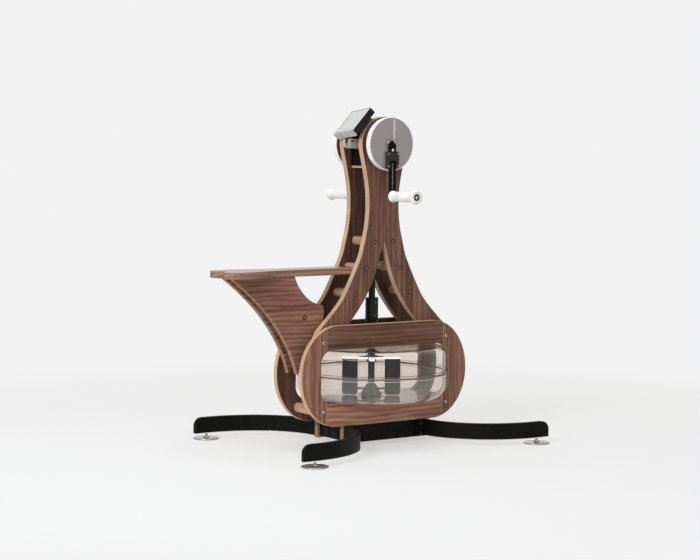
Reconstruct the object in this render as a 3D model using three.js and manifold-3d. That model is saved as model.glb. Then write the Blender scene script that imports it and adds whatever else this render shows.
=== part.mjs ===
// Arm crank ergometer: a wooden wishbone column over a water tank, with a saddle board and two cranks.
// Millimetres, +Z up. The rider sits at -X and faces +X, so the rider's right side is -Y.
// The origin is on the floor below the middle of the whole machine.

import * as THREE from 'three';
import { mergeVertices } from 'three/addons/utils/BufferGeometryUtils.js';
import Module from 'manifold-3d';

const wasm = await Module();
wasm.setup();

// ---------------------------------------------------------------- driving dimensions

const GAP = 0.3; // between pieces that touch
const RIGHT = -1; // side factors, multiplied into Y
const LEFT = 1;
const REAR = -1; // end factors, multiplied into X
const FRONT = 1;

// Column: two inverted-Y panels with a round head, centred on the vertical drive shaft (X = 0).
const CRANK_HEIGHT = 967;
const HEAD_RADIUS = 87;
const COLUMN_OUTER = 64; // outer face of each panel
const COLUMN_INNER = 42.5;
const HEAD_JOIN_ANGLE = 0.225; // below the horizontal, where the head runs into the neck
const NECK = [58, 752]; // half width and height of the narrowest place
const LEG_EDGE = [[64, 700], [76, 650], [91, 600], [141, 500], [176, 450], [250, 376]]; // below the neck
const FOOT_OUTER = 262; // half width of the column's feet, inside the tank frame
const FOOT_BOTTOM = 317;
const WISHBONE_APEX = 653;
const WISHBONE_FOOT = [216, 318]; // where the inner edge reaches the foot
const COLUMN_DOWELS = [[36, 655], [66, 569], [109, 489]]; // half spacing and height
const DOWEL_RADIUS = 15;
const BOLT_RADIUS = 4;
const BOLT_CLEARANCE = 0.4;

// Tank frame: a long oval of four boards on each side.
const FRAME_OUTER = 83.3;
const FRAME_INNER = 64.5;
const FRAME_BOTTOM = 72;
const FRAME_TOP = 393.5;
const FRAME_STRAIGHT = 188; // half length of the straight top and bottom
const FRAME_END = 135; // length of each half-elliptic end
const WINDOW_HALF = 250;
const WINDOW_BOTTOM = 145.5; // the tank rests on this edge
const WINDOW_TOP = 317;
const WINDOW_CORNER = 43;
const BOARD_SEAM = 230; // distance of the butt joints from the middle
const CORNER = { x: 241, low: 121.5, high: 341, radius: 16.5 }; // corner spacer dowels
const DECK = { half: 180, bottom: 318, top: 340, boltX: 56, boltZ: 329, boltHole: 3.2, hole: 24 };

// Water tank and drive.
const TANK_RADIUS = 246;
const TANK_TOP = 316;
const TANK_SEAM = 231.5;
const TANK_FLOOR = 146;
const TANK_WALL = 4;
const TANK_FLANGE = 8; // height of each shell's seam flange
const TANK_SHOULDER = [33, 31]; // inward and upward size of the elliptical shoulder
const TANK_HEEL = [40, 49]; // and of the lower corner
const TANK_NECK = 40;
const TANK_SEGMENTS = 32;
const SEAM_HALF = 2; // half the gap between the shells, filled by the seal
const SEAM_PROUD = 2; // how far the seam flange stands out
const PIVOT_BOSS = { radius: 16, height: 6 }; // the paddle's footing on the tank floor
const SHAFT_RADIUS = 10.75;
const SHAFT_JOINT = 432; // height where paddle shaft and drive shaft meet
const SHAFT_TOP = { step: 905, radius: 7, end: 936 }; // the thin upper end that carries the pinion
const BEARING = { flange: 38, flangeHeight: 8, radius: 21, top: 394 };
const COUPLING = { radius: 21, bottom: 396, top: 471 };
const PADDLE_ANGLE = THREE.MathUtils.degToRad(-34);
const BLADE = { inner: 44, reach: 95, low: 153, top: 278, corner: 14, half: 2 };
const BLADE_ARM = { inner: 8, half: 9, below: 2, above: 3 }; // flat bar along each blade's top
const PADDLE_HUB = { radius: 22, low: 266, high: 296 };
const LOWER_VANE = { reach: 66, half: 30, waist: 7, low: 172, high: 175 };

// Gearbox: a crown gear on the crank axle drives a pinion on the shaft, 3 to 1.
const GEAR_MODULE = 3;
const PINION_TEETH = 10;
const CROWN_TEETH = 30;
const TOOTH_HEIGHT = 5.5;
const TOOTH_ROOT_WIDTH = 4.4;
const TOOTH_TIP_WIDTH = 1.8;
const TOOTH_LENGTH = 10;
const AXLE_RADIUS = 12;
const AXLE_BORE = 23; // opening in each column panel for the disc's boss
const GEARBOX = { half: 58, bottom: 897.3, outerY: 40, wall: 4 };
const SHELF = { half: 55, bottom: 890, top: 897 };

// Cranks.
const DISC_RADIUS = 85.5;
const DISC_INNER = 82.4;
const DISC_BOSS = 46; // the hub's inner end, inside the column panel
const DISC_FACE = 103.5;
const DISC_RIM = 104.2;
const DISC_HUB = { radius: 22, cap: 100 }; // the axle ends inside the cap
const DISC_SLOT = { from: 4, to: 13, low: 16, high: 80, depth: 1.5 }; // above the axle, beside the arm
const ARM = { half: 12.75, inner: 105.5, outer: 110, top: 976, pin: 801, point: 11, tip: 3 };
const GUIDE = { half: 23, bottom: 890, bridge: 914, top: 943, inner: 103.8, outer: 113, play: 0.35 };
const STOP_SCREW = { height: 948, radius: 4.5, proud: 2.5 };
const INDEX_HOLES = { count: 9, first: 830, pitch: 9.3, radius: 1.8 };
const GRIP = { inner: 111.5, outer: 243, barrel: 16, collar: 18.5, flange: 22, bore: 6.3 };
const GRIP_CAP = { radius: 11.5, depth: 3, screw: 9 }; // recess in the grip's end and its screw head

// Console.
const CONSOLE = { width: 127, length: 106, depth: 21.5, corner: 7, x: -77, y: -4, z: 1032 };
const CONSOLE_TILT = THREE.MathUtils.degToRad(47); // towards the rider
const CONSOLE_ROLL = THREE.MathUtils.degToRad(-7.8); // its left side hangs lower
const SCREEN_RECESS = { low: 8, edge: 5, depth: 2.5, corner: 4 };
const CONSOLE_PIVOT = [-96, 977];
const LUG = { radius: 6, half: 8 };
const PIVOT_PIN = { radius: 3, half: 22 };
const CRADLE = { bottom: 950, top: 982, ear: 8, belly: 16, half: 20 };

// Saddle board and its brackets.
const SEAT = { top: 573, bottom: 551, rear: -577, lobe: 34, lobeY: 41, waistX: -330, half: 42.2 };
const BRACKET = { inner: 16, outer: 35 };
const SEAT_SPACER = { x: -283, z: 420, radius: 13 };

// Base.
const RAIL = { half: 165, bottom: 16, top: 71.7, inner: 64, outer: 84 };
const CROSS = { x: 150, thickness: 16, bottom: 22, top: 66 };
const LEG = {
  root: 155, rootY: 85, sweepX: 275, sweepY: 240, end: 475, thickness: 15, bottom: 18, top: 71.5,
};
const LEG_CORNER = 28;
const FLANGE = { from: 118, to: 152, outer: 93, boltX: 137, boltZ: [27, 58], boltHole: 4.4 };
const FOOT = { x: 431, y: 324, radius: 42.5, height: 5.5, stem: 4, stemTop: 46 };

const REAR_LIMIT = SEAT.rear;
const FRONT_LIMIT = LEG.end;

// ---------------------------------------------------------------- materials

const FINISHES = {
  walnut: { color: 0x6e5243, roughness: 0.55, metalness: 0 },
  birch: { color: 0xd8b68e, roughness: 0.6, metalness: 0 },
  blackMetal: { color: 0x151513, roughness: 0.4, metalness: 0.6 },
  steel: { color: 0xb9b8b6, roughness: 0.25, metalness: 1 },
  discMetal: { color: 0x9b9492, roughness: 0.45, metalness: 0.8 },
  clearPlastic: { color: 0xc9c2b8, roughness: 0.08, metalness: 0, transparent: true, opacity: 0.35 },
  greyPlastic: { color: 0x4a4644, roughness: 0.5, metalness: 0 },
  gripPlastic: { color: 0xebebe4, roughness: 0.45, metalness: 0 },
  consoleBlack: { color: 0x1c1b1b, roughness: 0.5, metalness: 0 },
  consoleGrey: { color: 0xa29d9c, roughness: 0.5, metalness: 0 },
  screen: { color: 0xd8dbdb, roughness: 0.15, metalness: 0 },
  rubber: { color: 0x222222, roughness: 0.8, metalness: 0 },
};

// ---------------------------------------------------------------- geometry helpers

// A closed geometry with shared vertices, no collapsed triangles and its faces pointing out.
function closed(geometry) {
  const bare = geometry.clone();
  bare.deleteAttribute('normal');
  bare.deleteAttribute('uv');
  const merged = mergeVertices(bare, 1e-4);
  const position = merged.attributes.position;
  const kept = [];
  let volume = 0;
  const a = new THREE.Vector3();
  const b = new THREE.Vector3();
  const c = new THREE.Vector3();
  for (let i = 0; i < merged.index.count; i += 3) {
    const [p, q, r] = [merged.index.getX(i), merged.index.getX(i + 1), merged.index.getX(i + 2)];
    if (p === q || q === r || r === p) continue;
    kept.push(p, q, r);
    a.fromBufferAttribute(position, p);
    b.fromBufferAttribute(position, q);
    c.fromBufferAttribute(position, r);
    volume += a.dot(b.cross(c));
  }
  if (volume < 0) kept.reverse();
  merged.setIndex(kept);
  return merged;
}

function toSolid(geometry) {
  const source = closed(geometry);
  const vertProperties = new Float32Array(source.attributes.position.array);
  const triVerts = new Uint32Array(source.index.array);
  return new wasm.Manifold(new wasm.Mesh({ numProp: 3, vertProperties, triVerts }));
}

function toGeometry(solid) {
  const mesh = solid.getMesh();
  const geometry = new THREE.BufferGeometry();
  geometry.setAttribute('position', new THREE.BufferAttribute(new Float32Array(mesh.vertProperties), 3));
  geometry.setIndex(new THREE.BufferAttribute(new Uint32Array(mesh.triVerts), 1));
  return geometry;
}

function join(...geometries) {
  return toGeometry(geometries.map(toSolid).reduce((all, next) => all.add(next)));
}

function cut(geometry, ...tools) {
  return toGeometry(tools.map(toSolid).reduce((left, tool) => left.subtract(tool), toSolid(geometry)));
}

function common(first, second) {
  return toGeometry(toSolid(first).intersect(toSolid(second)));
}

// A shape drawn in (X, Z), extruded from one Y to another.
function extrudeY(shape, from, to, curveSegments = 8) {
  const options = { depth: to - from, bevelEnabled: false, curveSegments };
  const geometry = new THREE.ExtrudeGeometry(shape, options);
  geometry.rotateX(Math.PI / 2);
  geometry.translate(0, to, 0);
  return geometry;
}

// A shape drawn in (X, Y), extruded from one height to another.
function extrudeZ(shape, from, to, curveSegments = 8) {
  const options = { depth: to - from, bevelEnabled: false, curveSegments };
  const geometry = new THREE.ExtrudeGeometry(shape, options);
  geometry.translate(0, 0, from);
  return geometry;
}

function box(x0, x1, y0, y1, z0, z1) {
  const geometry = new THREE.BoxGeometry(x1 - x0, y1 - y0, z1 - z0);
  geometry.translate((x0 + x1) / 2, (y0 + y1) / 2, (z0 + z1) / 2);
  return geometry;
}

// Points along an arc, both ends included.
function arcPoints(cx, cy, radius, from, to, steps) {
  return Array.from({ length: steps + 1 }, (_, i) => {
    const angle = from + ((to - from) * i) / steps;
    return new THREE.Vector2(cx + radius * Math.cos(angle), cy + radius * Math.sin(angle));
  });
}

function circle(x, y, radius, sides) {
  return new THREE.Shape(arcPoints(x, y, radius, 0, 2 * Math.PI, sides).slice(1));
}

function hole(x, y, radius, sides = 10) {
  return new THREE.Path(arcPoints(x, y, radius, 0, -2 * Math.PI, sides).slice(1));
}

// A round bar along Y at (x, z), and one along Z at (x, y).
function barY(x, z, radius, from, to, sides = 20) {
  return extrudeY(circle(x, z, radius, sides), from, to);
}

function barZ(x, y, radius, from, to, sides = 20) {
  return extrudeZ(circle(x, y, radius, sides), from, to);
}

// A profile of [radius, height] points turned about Z.
function turned(profile, segments) {
  const geometry = new THREE.LatheGeometry(profile.map(([r, h]) => new THREE.Vector2(r, h)), segments);
  geometry.rotateX(Math.PI / 2);
  return geometry;
}

// A profile of [radius, distance from the middle plane] points turned about the axis (x, z) along Y.
function turnedY(profile, x, z, side, segments) {
  const points = profile.map(([r, h]) => new THREE.Vector2(r, h * side));
  const geometry = new THREE.LatheGeometry(points, segments);
  geometry.translate(x, 0, z);
  return geometry;
}

// Y range of a plate between two distances from the middle plane, on one side.
function sideRange(side, inner, outer) {
  return side === RIGHT ? [-outer, -inner] : [inner, outer];
}

// ---------------------------------------------------------------- the model's group

const group = new THREE.Group();
group.position.x = -(REAR_LIMIT + FRONT_LIMIT) / 2;

function add(name, geometry, finish) {
  const mesh = new THREE.Mesh(closed(geometry), new THREE.MeshStandardMaterial(FINISHES[finish]));
  mesh.name = name;
  group.add(mesh);
}

// ---------------------------------------------------------------- column

function columnShape() {
  const joinX = HEAD_RADIUS * Math.cos(HEAD_JOIN_ANGLE);
  const joinZ = CRANK_HEIGHT - HEAD_RADIUS * Math.sin(HEAD_JOIN_ANGLE);
  const headPull = 130;
  const neckPull = 68;
  const pullX = joinX - headPull * Math.sin(HEAD_JOIN_ANGLE);
  const pullZ = joinZ - headPull * Math.cos(HEAD_JOIN_ANGLE);
  const lower = new THREE.SplineCurve([NECK, ...LEG_EDGE].map(([x, z]) => new THREE.Vector2(x, z)));
  const neck = new THREE.CubicBezierCurve(
    new THREE.Vector2(joinX, joinZ),
    new THREE.Vector2(pullX, pullZ),
    new THREE.Vector2(NECK[0], NECK[1] + neckPull),
    new THREE.Vector2(...NECK),
  );
  const inner = new THREE.CubicBezierCurve(
    new THREE.Vector2(2, WISHBONE_APEX),
    new THREE.Vector2(34, 550),
    new THREE.Vector2(37, 470),
    new THREE.Vector2(...WISHBONE_FOOT),
  );
  const half = [
    ...arcPoints(0, CRANK_HEIGHT, HEAD_RADIUS, Math.PI / 2, -HEAD_JOIN_ANGLE, 14),
    ...neck.getPoints(7).slice(1),
    ...lower.getPoints(12).slice(1),
    new THREE.Vector2(FOOT_OUTER, 350),
    new THREE.Vector2(FOOT_OUTER, FOOT_BOTTOM),
    new THREE.Vector2(WISHBONE_FOOT[0], FOOT_BOTTOM),
    ...inner.getPoints(10).reverse(),
  ];
  const mirrored = half.slice(1).reverse().map((p) => new THREE.Vector2(-p.x, p.y));
  return new THREE.Shape([...half, ...mirrored]);
}

function columnPanel(side) {
  const boltHole = BOLT_RADIUS + BOLT_CLEARANCE;
  const through = sideRange(side, COLUMN_INNER - 1, COLUMN_OUTER + 1);
  const bolts = [REAR, FRONT].flatMap((end) => [...COLUMN_DOWELS, [CORNER.x, CORNER.high]]
    .map(([x, z]) => barY(end * x, z, boltHole, ...through, 10)));
  return cut(
    extrudeY(columnShape(), ...sideRange(side, COLUMN_INNER, COLUMN_OUTER)),
    barY(0, CRANK_HEIGHT, AXLE_BORE, ...through),
    ...bolts,
  );
}

function spacerDowel(x, z, radius, halfLength) {
  const shape = circle(x, z, radius, 16);
  shape.holes.push(hole(x, z, BOLT_RADIUS + BOLT_CLEARANCE));
  return extrudeY(shape, -halfLength, halfLength);
}

add('right_column_panel', columnPanel(RIGHT), 'walnut');
add('left_column_panel', columnPanel(LEFT), 'walnut');

const LEVELS = ['upper', 'middle', 'lower'];
for (const [end, endName] of [[REAR, 'rear'], [FRONT, 'front']]) {
  COLUMN_DOWELS.forEach(([x, z], level) => {
    const dowel = spacerDowel(end * x, z, DOWEL_RADIUS, COLUMN_INNER - GAP);
    add(`${LEVELS[level]}_${endName}_dowel`, dowel, 'birch');
  });
  const top = spacerDowel(end * CORNER.x, CORNER.high, CORNER.radius, COLUMN_INNER - GAP);
  const bottom = spacerDowel(end * CORNER.x, CORNER.low, CORNER.radius, FRAME_INNER - GAP);
  add(`top_${endName}_corner_dowel`, top, 'birch');
  add(`bottom_${endName}_corner_dowel`, bottom, 'birch');
}

// ---------------------------------------------------------------- tank frame

function ovalShape() {
  const middle = (FRAME_BOTTOM + FRAME_TOP) / 2;
  const height = (FRAME_TOP - FRAME_BOTTOM) / 2;
  const shape = new THREE.Shape();
  shape.moveTo(-FRAME_STRAIGHT, FRAME_BOTTOM);
  shape.lineTo(FRAME_STRAIGHT, FRAME_BOTTOM);
  shape.absellipse(FRAME_STRAIGHT, middle, FRAME_END, height, -Math.PI / 2, Math.PI / 2, false);
  shape.lineTo(-FRAME_STRAIGHT, FRAME_TOP);
  shape.absellipse(-FRAME_STRAIGHT, middle, FRAME_END, height, Math.PI / 2, (3 * Math.PI) / 2, false);
  return shape;
}

function windowPath() {
  const x = WINDOW_HALF - WINDOW_CORNER;
  const low = WINDOW_BOTTOM + WINDOW_CORNER;
  const high = WINDOW_TOP - WINDOW_CORNER;
  return new THREE.Path([
    ...arcPoints(x, high, WINDOW_CORNER, Math.PI / 2, 0, 6),
    ...arcPoints(x, low, WINDOW_CORNER, 0, -Math.PI / 2, 6),
    ...arcPoints(-x, low, WINDOW_CORNER, -Math.PI / 2, -Math.PI, 6),
    ...arcPoints(-x, high, WINDOW_CORNER, Math.PI, Math.PI / 2, 6),
  ]);
}

function frameRing(side) {
  const shape = ovalShape();
  shape.holes.push(windowPath());
  for (const x of [-CORNER.x, CORNER.x]) {
    for (const z of [CORNER.low, CORNER.high]) shape.holes.push(hole(x, z, BOLT_RADIUS + BOLT_CLEARANCE));
  }
  for (const x of [-DECK.boltX, DECK.boltX]) shape.holes.push(hole(x, DECK.boltZ, DECK.boltHole));
  return extrudeY(shape, ...sideRange(side, FRAME_INNER, FRAME_OUTER), 10);
}

function addTankFrame(side, sideName) {
  const ring = frameRing(side);
  const [y0, y1] = [-2 * FRAME_OUTER, 2 * FRAME_OUTER];
  const seam = BOARD_SEAM - GAP / 2;
  const end = BOARD_SEAM + GAP / 2;
  const reach = 2 * BOARD_SEAM;
  const middle = (WINDOW_BOTTOM + WINDOW_TOP) / 2;
  const boards = {
    top_board: box(-seam, seam, y0, y1, middle, reach),
    bottom_board: box(-seam, seam, y0, y1, 0, middle),
    front_board: box(end, reach, y0, y1, 0, reach),
    rear_board: box(-reach, -end, y0, y1, 0, reach),
  };
  for (const [name, slab] of Object.entries(boards)) {
    add(`${sideName}_tank_frame_${name}`, common(ring, slab), 'walnut');
  }
}

addTankFrame(RIGHT, 'right');
addTankFrame(LEFT, 'left');

// ---------------------------------------------------------------- water tank

// A quarter ellipse from the tank's side (angle 0) to its flat top or floor, set in by the wall.
function ellipseCorner([inward, upward], flatHeight, inset, steps) {
  const sign = Math.sign(flatHeight - TANK_SEAM);
  return Array.from({ length: steps + 1 }, (_, i) => {
    const angle = (Math.PI / 2) * (i / steps);
    return [
      TANK_RADIUS - inward + (inward - inset) * Math.cos(angle),
      flatHeight - sign * (upward - (upward - inset) * Math.sin(angle)),
    ];
  });
}

function upperShell() {
  const inner = TANK_RADIUS - TANK_WALL;
  const rim = TANK_SEAM + SEAM_HALF;
  const profile = [
    [inner, rim],
    [TANK_RADIUS + SEAM_PROUD, rim],
    [TANK_RADIUS + SEAM_PROUD, TANK_SEAM + TANK_FLANGE],
    [TANK_RADIUS, TANK_SEAM + TANK_FLANGE],
    ...ellipseCorner(TANK_SHOULDER, TANK_TOP, 0, 4),
    [TANK_NECK, TANK_TOP],
    [TANK_NECK, DECK.bottom - GAP],
    [TANK_NECK - TANK_WALL, DECK.bottom - GAP],
    [TANK_NECK - TANK_WALL, TANK_TOP - TANK_WALL],
    ...ellipseCorner(TANK_SHOULDER, TANK_TOP, TANK_WALL, 4).reverse(),
    [inner, rim],
  ];
  return turned(profile, TANK_SEGMENTS);
}

function lowerShell() {
  const inner = TANK_RADIUS - TANK_WALL;
  const rim = TANK_SEAM - SEAM_HALF;
  const floorTop = TANK_FLOOR + TANK_WALL;
  const profile = [
    [0, floorTop + PIVOT_BOSS.height],
    [PIVOT_BOSS.radius, floorTop + PIVOT_BOSS.height],
    [PIVOT_BOSS.radius, floorTop],
    ...ellipseCorner(TANK_HEEL, TANK_FLOOR, TANK_WALL, 4).reverse(),
    [inner, rim],
    [TANK_RADIUS + SEAM_PROUD, rim],
    [TANK_RADIUS + SEAM_PROUD, TANK_SEAM - TANK_FLANGE],
    [TANK_RADIUS, TANK_SEAM - TANK_FLANGE],
    ...ellipseCorner(TANK_HEEL, TANK_FLOOR, 0, 4),
    [0, TANK_FLOOR],
  ];
  return turned(profile, TANK_SEGMENTS);
}

function tankSeal() {
  const low = TANK_SEAM - SEAM_HALF + GAP;
  const high = TANK_SEAM + SEAM_HALF - GAP;
  const inner = TANK_RADIUS - TANK_WALL;
  const outer = TANK_RADIUS + SEAM_PROUD / 2;
  return turned([[inner, low], [outer, low], [outer, high], [inner, high], [inner, low]], TANK_SEGMENTS);
}

add('tank_upper_shell', upperShell(), 'clearPlastic');
add('tank_lower_shell', lowerShell(), 'clearPlastic');
add('tank_seal', tankSeal(), 'rubber');

// ---------------------------------------------------------------- deck, shaft and paddle

function shaftDeck() {
  const width = FRAME_INNER - GAP;
  return cut(
    box(-DECK.half, DECK.half, -width, width, DECK.bottom, DECK.top),
    barZ(0, 0, DECK.hole, DECK.bottom - 1, DECK.top + 1),
  );
}

function bearingHousing() {
  const bore = SHAFT_RADIUS + GAP;
  const base = DECK.top + GAP;
  const { flange, flangeHeight, radius, top } = BEARING;
  return turned([
    [bore, base], [flange, base], [flange, base + flangeHeight], [radius, base + flangeHeight],
    [radius, top], [bore, top], [bore, base],
  ], 20);
}

function shaftCoupling() {
  const bore = SHAFT_RADIUS + GAP;
  const { radius, bottom, top } = COUPLING;
  return turned([
    [bore, bottom], [radius - 1, bottom], [radius, bottom + 1], [radius, top - 1], [radius - 1, top],
    [bore, top], [bore, bottom],
  ], 20);
}

function driveShaft() {
  const { step, radius, end } = SHAFT_TOP;
  return turned([
    [0, SHAFT_JOINT + GAP], [SHAFT_RADIUS, SHAFT_JOINT + GAP],
    [SHAFT_RADIUS, step], [radius, step], [radius, end], [0, end],
  ], 20);
}

function paddleBlade(angle) {
  const { inner, reach, low, top, corner, half } = BLADE;
  const shape = new THREE.Shape();
  shape.moveTo(inner, top);
  shape.lineTo(inner, low);
  shape.absarc(reach - corner, low + corner, corner, -Math.PI / 2, 0, false);
  shape.lineTo(reach, top);
  shape.closePath();
  const blade = extrudeY(shape, -half, half, 4);
  const { half: armHalf, below, above } = BLADE_ARM;
  const arm = box(BLADE_ARM.inner, reach, -armHalf, armHalf, top - below, top + above);
  const both = join(blade, arm);
  both.rotateZ(angle);
  return both;
}

function paddle() {
  const bossTop = TANK_FLOOR + TANK_WALL + PIVOT_BOSS.height;
  const shaft = barZ(0, 0, SHAFT_RADIUS, bossTop + 1, SHAFT_JOINT - GAP);
  const hub = barZ(0, 0, PADDLE_HUB.radius, PADDLE_HUB.low, PADDLE_HUB.high);
  const { reach, half, waist, low, high } = LOWER_VANE;
  const wing = new THREE.Shape([
    [-reach, -half], [0, -waist], [reach, -half], [reach, half], [0, waist], [-reach, half],
  ].map(([x, y]) => new THREE.Vector2(x, y)));
  const bowTie = extrudeZ(wing, low, high);
  bowTie.rotateZ(PADDLE_ANGLE);
  const blades = [0, 1, 2, 3].map((quarter) => paddleBlade(PADDLE_ANGLE + (quarter * Math.PI) / 2));
  return join(shaft, hub, ...blades, bowTie);
}

add('shaft_deck', shaftDeck(), 'birch');
add('bearing_housing', bearingHousing(), 'blackMetal');
add('shaft_coupling', shaftCoupling(), 'blackMetal');
add('drive_shaft', driveShaft(), 'blackMetal');
add('paddle', paddle(), 'greyPlastic');

// ---------------------------------------------------------------- gearbox

function gearboxShape(inset) {
  const radius = GEARBOX.half - inset;
  const shape = new THREE.Shape();
  shape.moveTo(-radius, GEARBOX.bottom + inset);
  shape.lineTo(radius, GEARBOX.bottom + inset);
  shape.absarc(0, CRANK_HEIGHT, radius, 0, Math.PI, false);
  shape.closePath();
  return shape;
}

function gearboxHousing() {
  const { outerY, wall, bottom } = GEARBOX;
  return cut(
    extrudeY(gearboxShape(0), -outerY, outerY),
    extrudeY(gearboxShape(wall), wall - outerY, outerY - wall),
    barY(0, CRANK_HEIGHT, AXLE_RADIUS + 1, -outerY - 1, outerY + 1),
    barZ(0, 0, SHAFT_RADIUS + 2, bottom - 1, bottom + wall + 1),
  );
}

function gearboxShelf() {
  const width = COLUMN_INNER - GAP;
  return cut(
    box(-SHELF.half, SHELF.half, -width, width, SHELF.bottom, SHELF.top),
    barZ(0, 0, SHAFT_RADIUS + 3, SHELF.bottom - 1, SHELF.top + 1),
  );
}

// A tooth as a tapered bar: its root at the origin, its tip along +X, its length along Z.
function tooth(length) {
  const shape = new THREE.Shape();
  shape.moveTo(-1, -TOOTH_ROOT_WIDTH / 2);
  shape.lineTo(0, -TOOTH_ROOT_WIDTH / 2);
  shape.lineTo(TOOTH_HEIGHT, -TOOTH_TIP_WIDTH / 2);
  shape.lineTo(TOOTH_HEIGHT, TOOTH_TIP_WIDTH / 2);
  shape.lineTo(0, TOOTH_ROOT_WIDTH / 2);
  shape.lineTo(-1, TOOTH_ROOT_WIDTH / 2);
  shape.closePath();
  return extrudeZ(shape, -length / 2, length / 2);
}

const PINION_PITCH = (GEAR_MODULE * PINION_TEETH) / 2;
const CROWN_PITCH = (GEAR_MODULE * CROWN_TEETH) / 2;
const PINION_HEIGHT = CRANK_HEIGHT - CROWN_PITCH;
const TOOTH_CLEARANCE = 0.8;
const PINION_ROOT = PINION_PITCH - TOOTH_HEIGHT / 2 - TOOTH_CLEARANCE / 2;
const CROWN_ROOT = PINION_PITCH + TOOTH_HEIGHT / 2 + TOOTH_CLEARANCE / 2;

function pinion() {
  const width = TOOTH_LENGTH + 2;
  const blank = barZ(0, 0, PINION_ROOT, PINION_HEIGHT - width / 2, PINION_HEIGHT + width / 2, 20);
  const teeth = Array.from({ length: PINION_TEETH }, (_, i) => {
    const one = tooth(width);
    one.translate(PINION_ROOT, 0, PINION_HEIGHT);
    one.rotateZ(Math.PI / 2 + ((i + 0.5) * 2 * Math.PI) / PINION_TEETH);
    return one;
  });
  const bore = barZ(0, 0, 7 + GAP, PINION_HEIGHT - width, PINION_HEIGHT + width, 20);
  return cut(join(blank, ...teeth), bore);
}

function crownGear() {
  const plate = 6;
  const hubEnd = CROWN_ROOT + 14;
  const blank = turnedY([
    [AXLE_RADIUS + GAP, CROWN_ROOT], [CROWN_PITCH + 8, CROWN_ROOT], [CROWN_PITCH + 8, CROWN_ROOT + plate],
    [20, CROWN_ROOT + plate], [20, hubEnd], [AXLE_RADIUS + GAP, hubEnd], [AXLE_RADIUS + GAP, CROWN_ROOT],
  ], 0, 0, LEFT, 30);
  const teeth = Array.from({ length: CROWN_TEETH }, (_, i) => {
    const one = tooth(TOOTH_LENGTH);
    one.rotateZ(-Math.PI / 2); // the tip points to the middle plane
    one.translate(0, CROWN_ROOT, CROWN_PITCH);
    one.rotateY((i * 2 * Math.PI) / CROWN_TEETH);
    return one;
  });
  const gear = join(blank, ...teeth);
  gear.translate(0, 0, CRANK_HEIGHT);
  return gear;
}

add('gearbox_housing', gearboxHousing(), 'blackMetal');
add('gearbox_shelf', gearboxShelf(), 'birch');
add('crank_axle', barY(0, CRANK_HEIGHT, AXLE_RADIUS, -99.5, 99.5), 'steel');
add('crown_gear', crownGear(), 'steel');
add('drive_pinion', pinion(), 'steel');

// ---------------------------------------------------------------- cranks

function crankDisc(side) {
  const disc = turnedY([
    [0, DISC_HUB.cap], [AXLE_RADIUS + GAP, DISC_HUB.cap], [AXLE_RADIUS + GAP, DISC_BOSS],
    [DISC_HUB.radius, DISC_BOSS], [DISC_HUB.radius, DISC_INNER],
    [DISC_RADIUS, DISC_INNER], [DISC_RADIUS, DISC_RIM], [DISC_RADIUS - 1.5, DISC_RIM],
    [DISC_RADIUS - 2.2, DISC_FACE], [0, DISC_FACE],
  ], 0, CRANK_HEIGHT, side, 36);
  const { from, to, low, high, depth } = DISC_SLOT;
  const slotDepth = sideRange(side, DISC_FACE - depth, DISC_RIM + 1);
  return cut(disc, box(from, to, ...slotDepth, CRANK_HEIGHT + low, CRANK_HEIGHT + high));
}

function guideBlock(side) {
  const { half, bottom, bridge, top, inner, outer } = GUIDE;
  const channel = ARM.half + GUIDE.play;
  return cut(
    box(-half, half, ...sideRange(side, inner, outer), bottom, top),
    box(-channel, channel, ...sideRange(side, ARM.inner - GAP, ARM.outer + GAP), bottom - 1, top + 1),
    box(-channel, channel, ...sideRange(side, ARM.outer, outer + 1), bottom - 1, bridge),
  );
}

function crankArm(side) {
  const shape = new THREE.Shape();
  shape.moveTo(ARM.half, ARM.pin);
  shape.lineTo(ARM.half, ARM.top - ARM.point);
  shape.lineTo(ARM.tip, ARM.top);
  shape.lineTo(-ARM.tip, ARM.top);
  shape.lineTo(-ARM.half, ARM.top - ARM.point);
  shape.lineTo(-ARM.half, ARM.pin);
  shape.absarc(0, ARM.pin, ARM.half, Math.PI, 2 * Math.PI, false);
  for (let i = 0; i < INDEX_HOLES.count; i += 1) {
    shape.holes.push(hole(0, INDEX_HOLES.first + i * INDEX_HOLES.pitch, INDEX_HOLES.radius, 6));
  }
  const bar = extrudeY(shape, ...sideRange(side, ARM.inner, ARM.outer), 4);
  const rooted = ARM.outer - 2; // screws and spindle start inside the bar
  const spindle = barY(0, ARM.pin, GRIP.bore - GAP, ...sideRange(side, rooted, GRIP.outer - 2), 16);
  const head = barY(0, ARM.pin, GRIP_CAP.screw, ...sideRange(side, GRIP.outer - 2.5, GRIP.outer + 0.5), 16);
  const { height, radius, proud } = STOP_SCREW;
  const stop = barY(0, height, radius, ...sideRange(side, rooted, ARM.outer + proud), 12);
  return join(bar, spindle, head, stop);
}

function grip(side) {
  const { inner, outer, barrel, collar, flange, bore } = GRIP;
  return turnedY([
    [bore, inner], [collar - 2, inner], [collar, inner + 2], [collar, inner + 5], [barrel, inner + 9],
    [barrel, outer - 18], [flange, outer - 9], [flange, outer - 3], [flange - 3, outer],
    [GRIP_CAP.radius, outer], [GRIP_CAP.radius, outer - GRIP_CAP.depth], [bore, outer - GRIP_CAP.depth],
    [bore, inner],
  ], 0, ARM.pin, side, 18);
}

for (const [side, name] of [[RIGHT, 'right'], [LEFT, 'left']]) {
  add(`${name}_crank_disc`, crankDisc(side), 'discMetal');
  add(`${name}_guide_block`, guideBlock(side), 'blackMetal');
  add(`${name}_crank_arm`, crankArm(side), 'blackMetal');
  add(`${name}_grip`, grip(side), 'gripPlastic');
}

// ---------------------------------------------------------------- console

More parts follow.
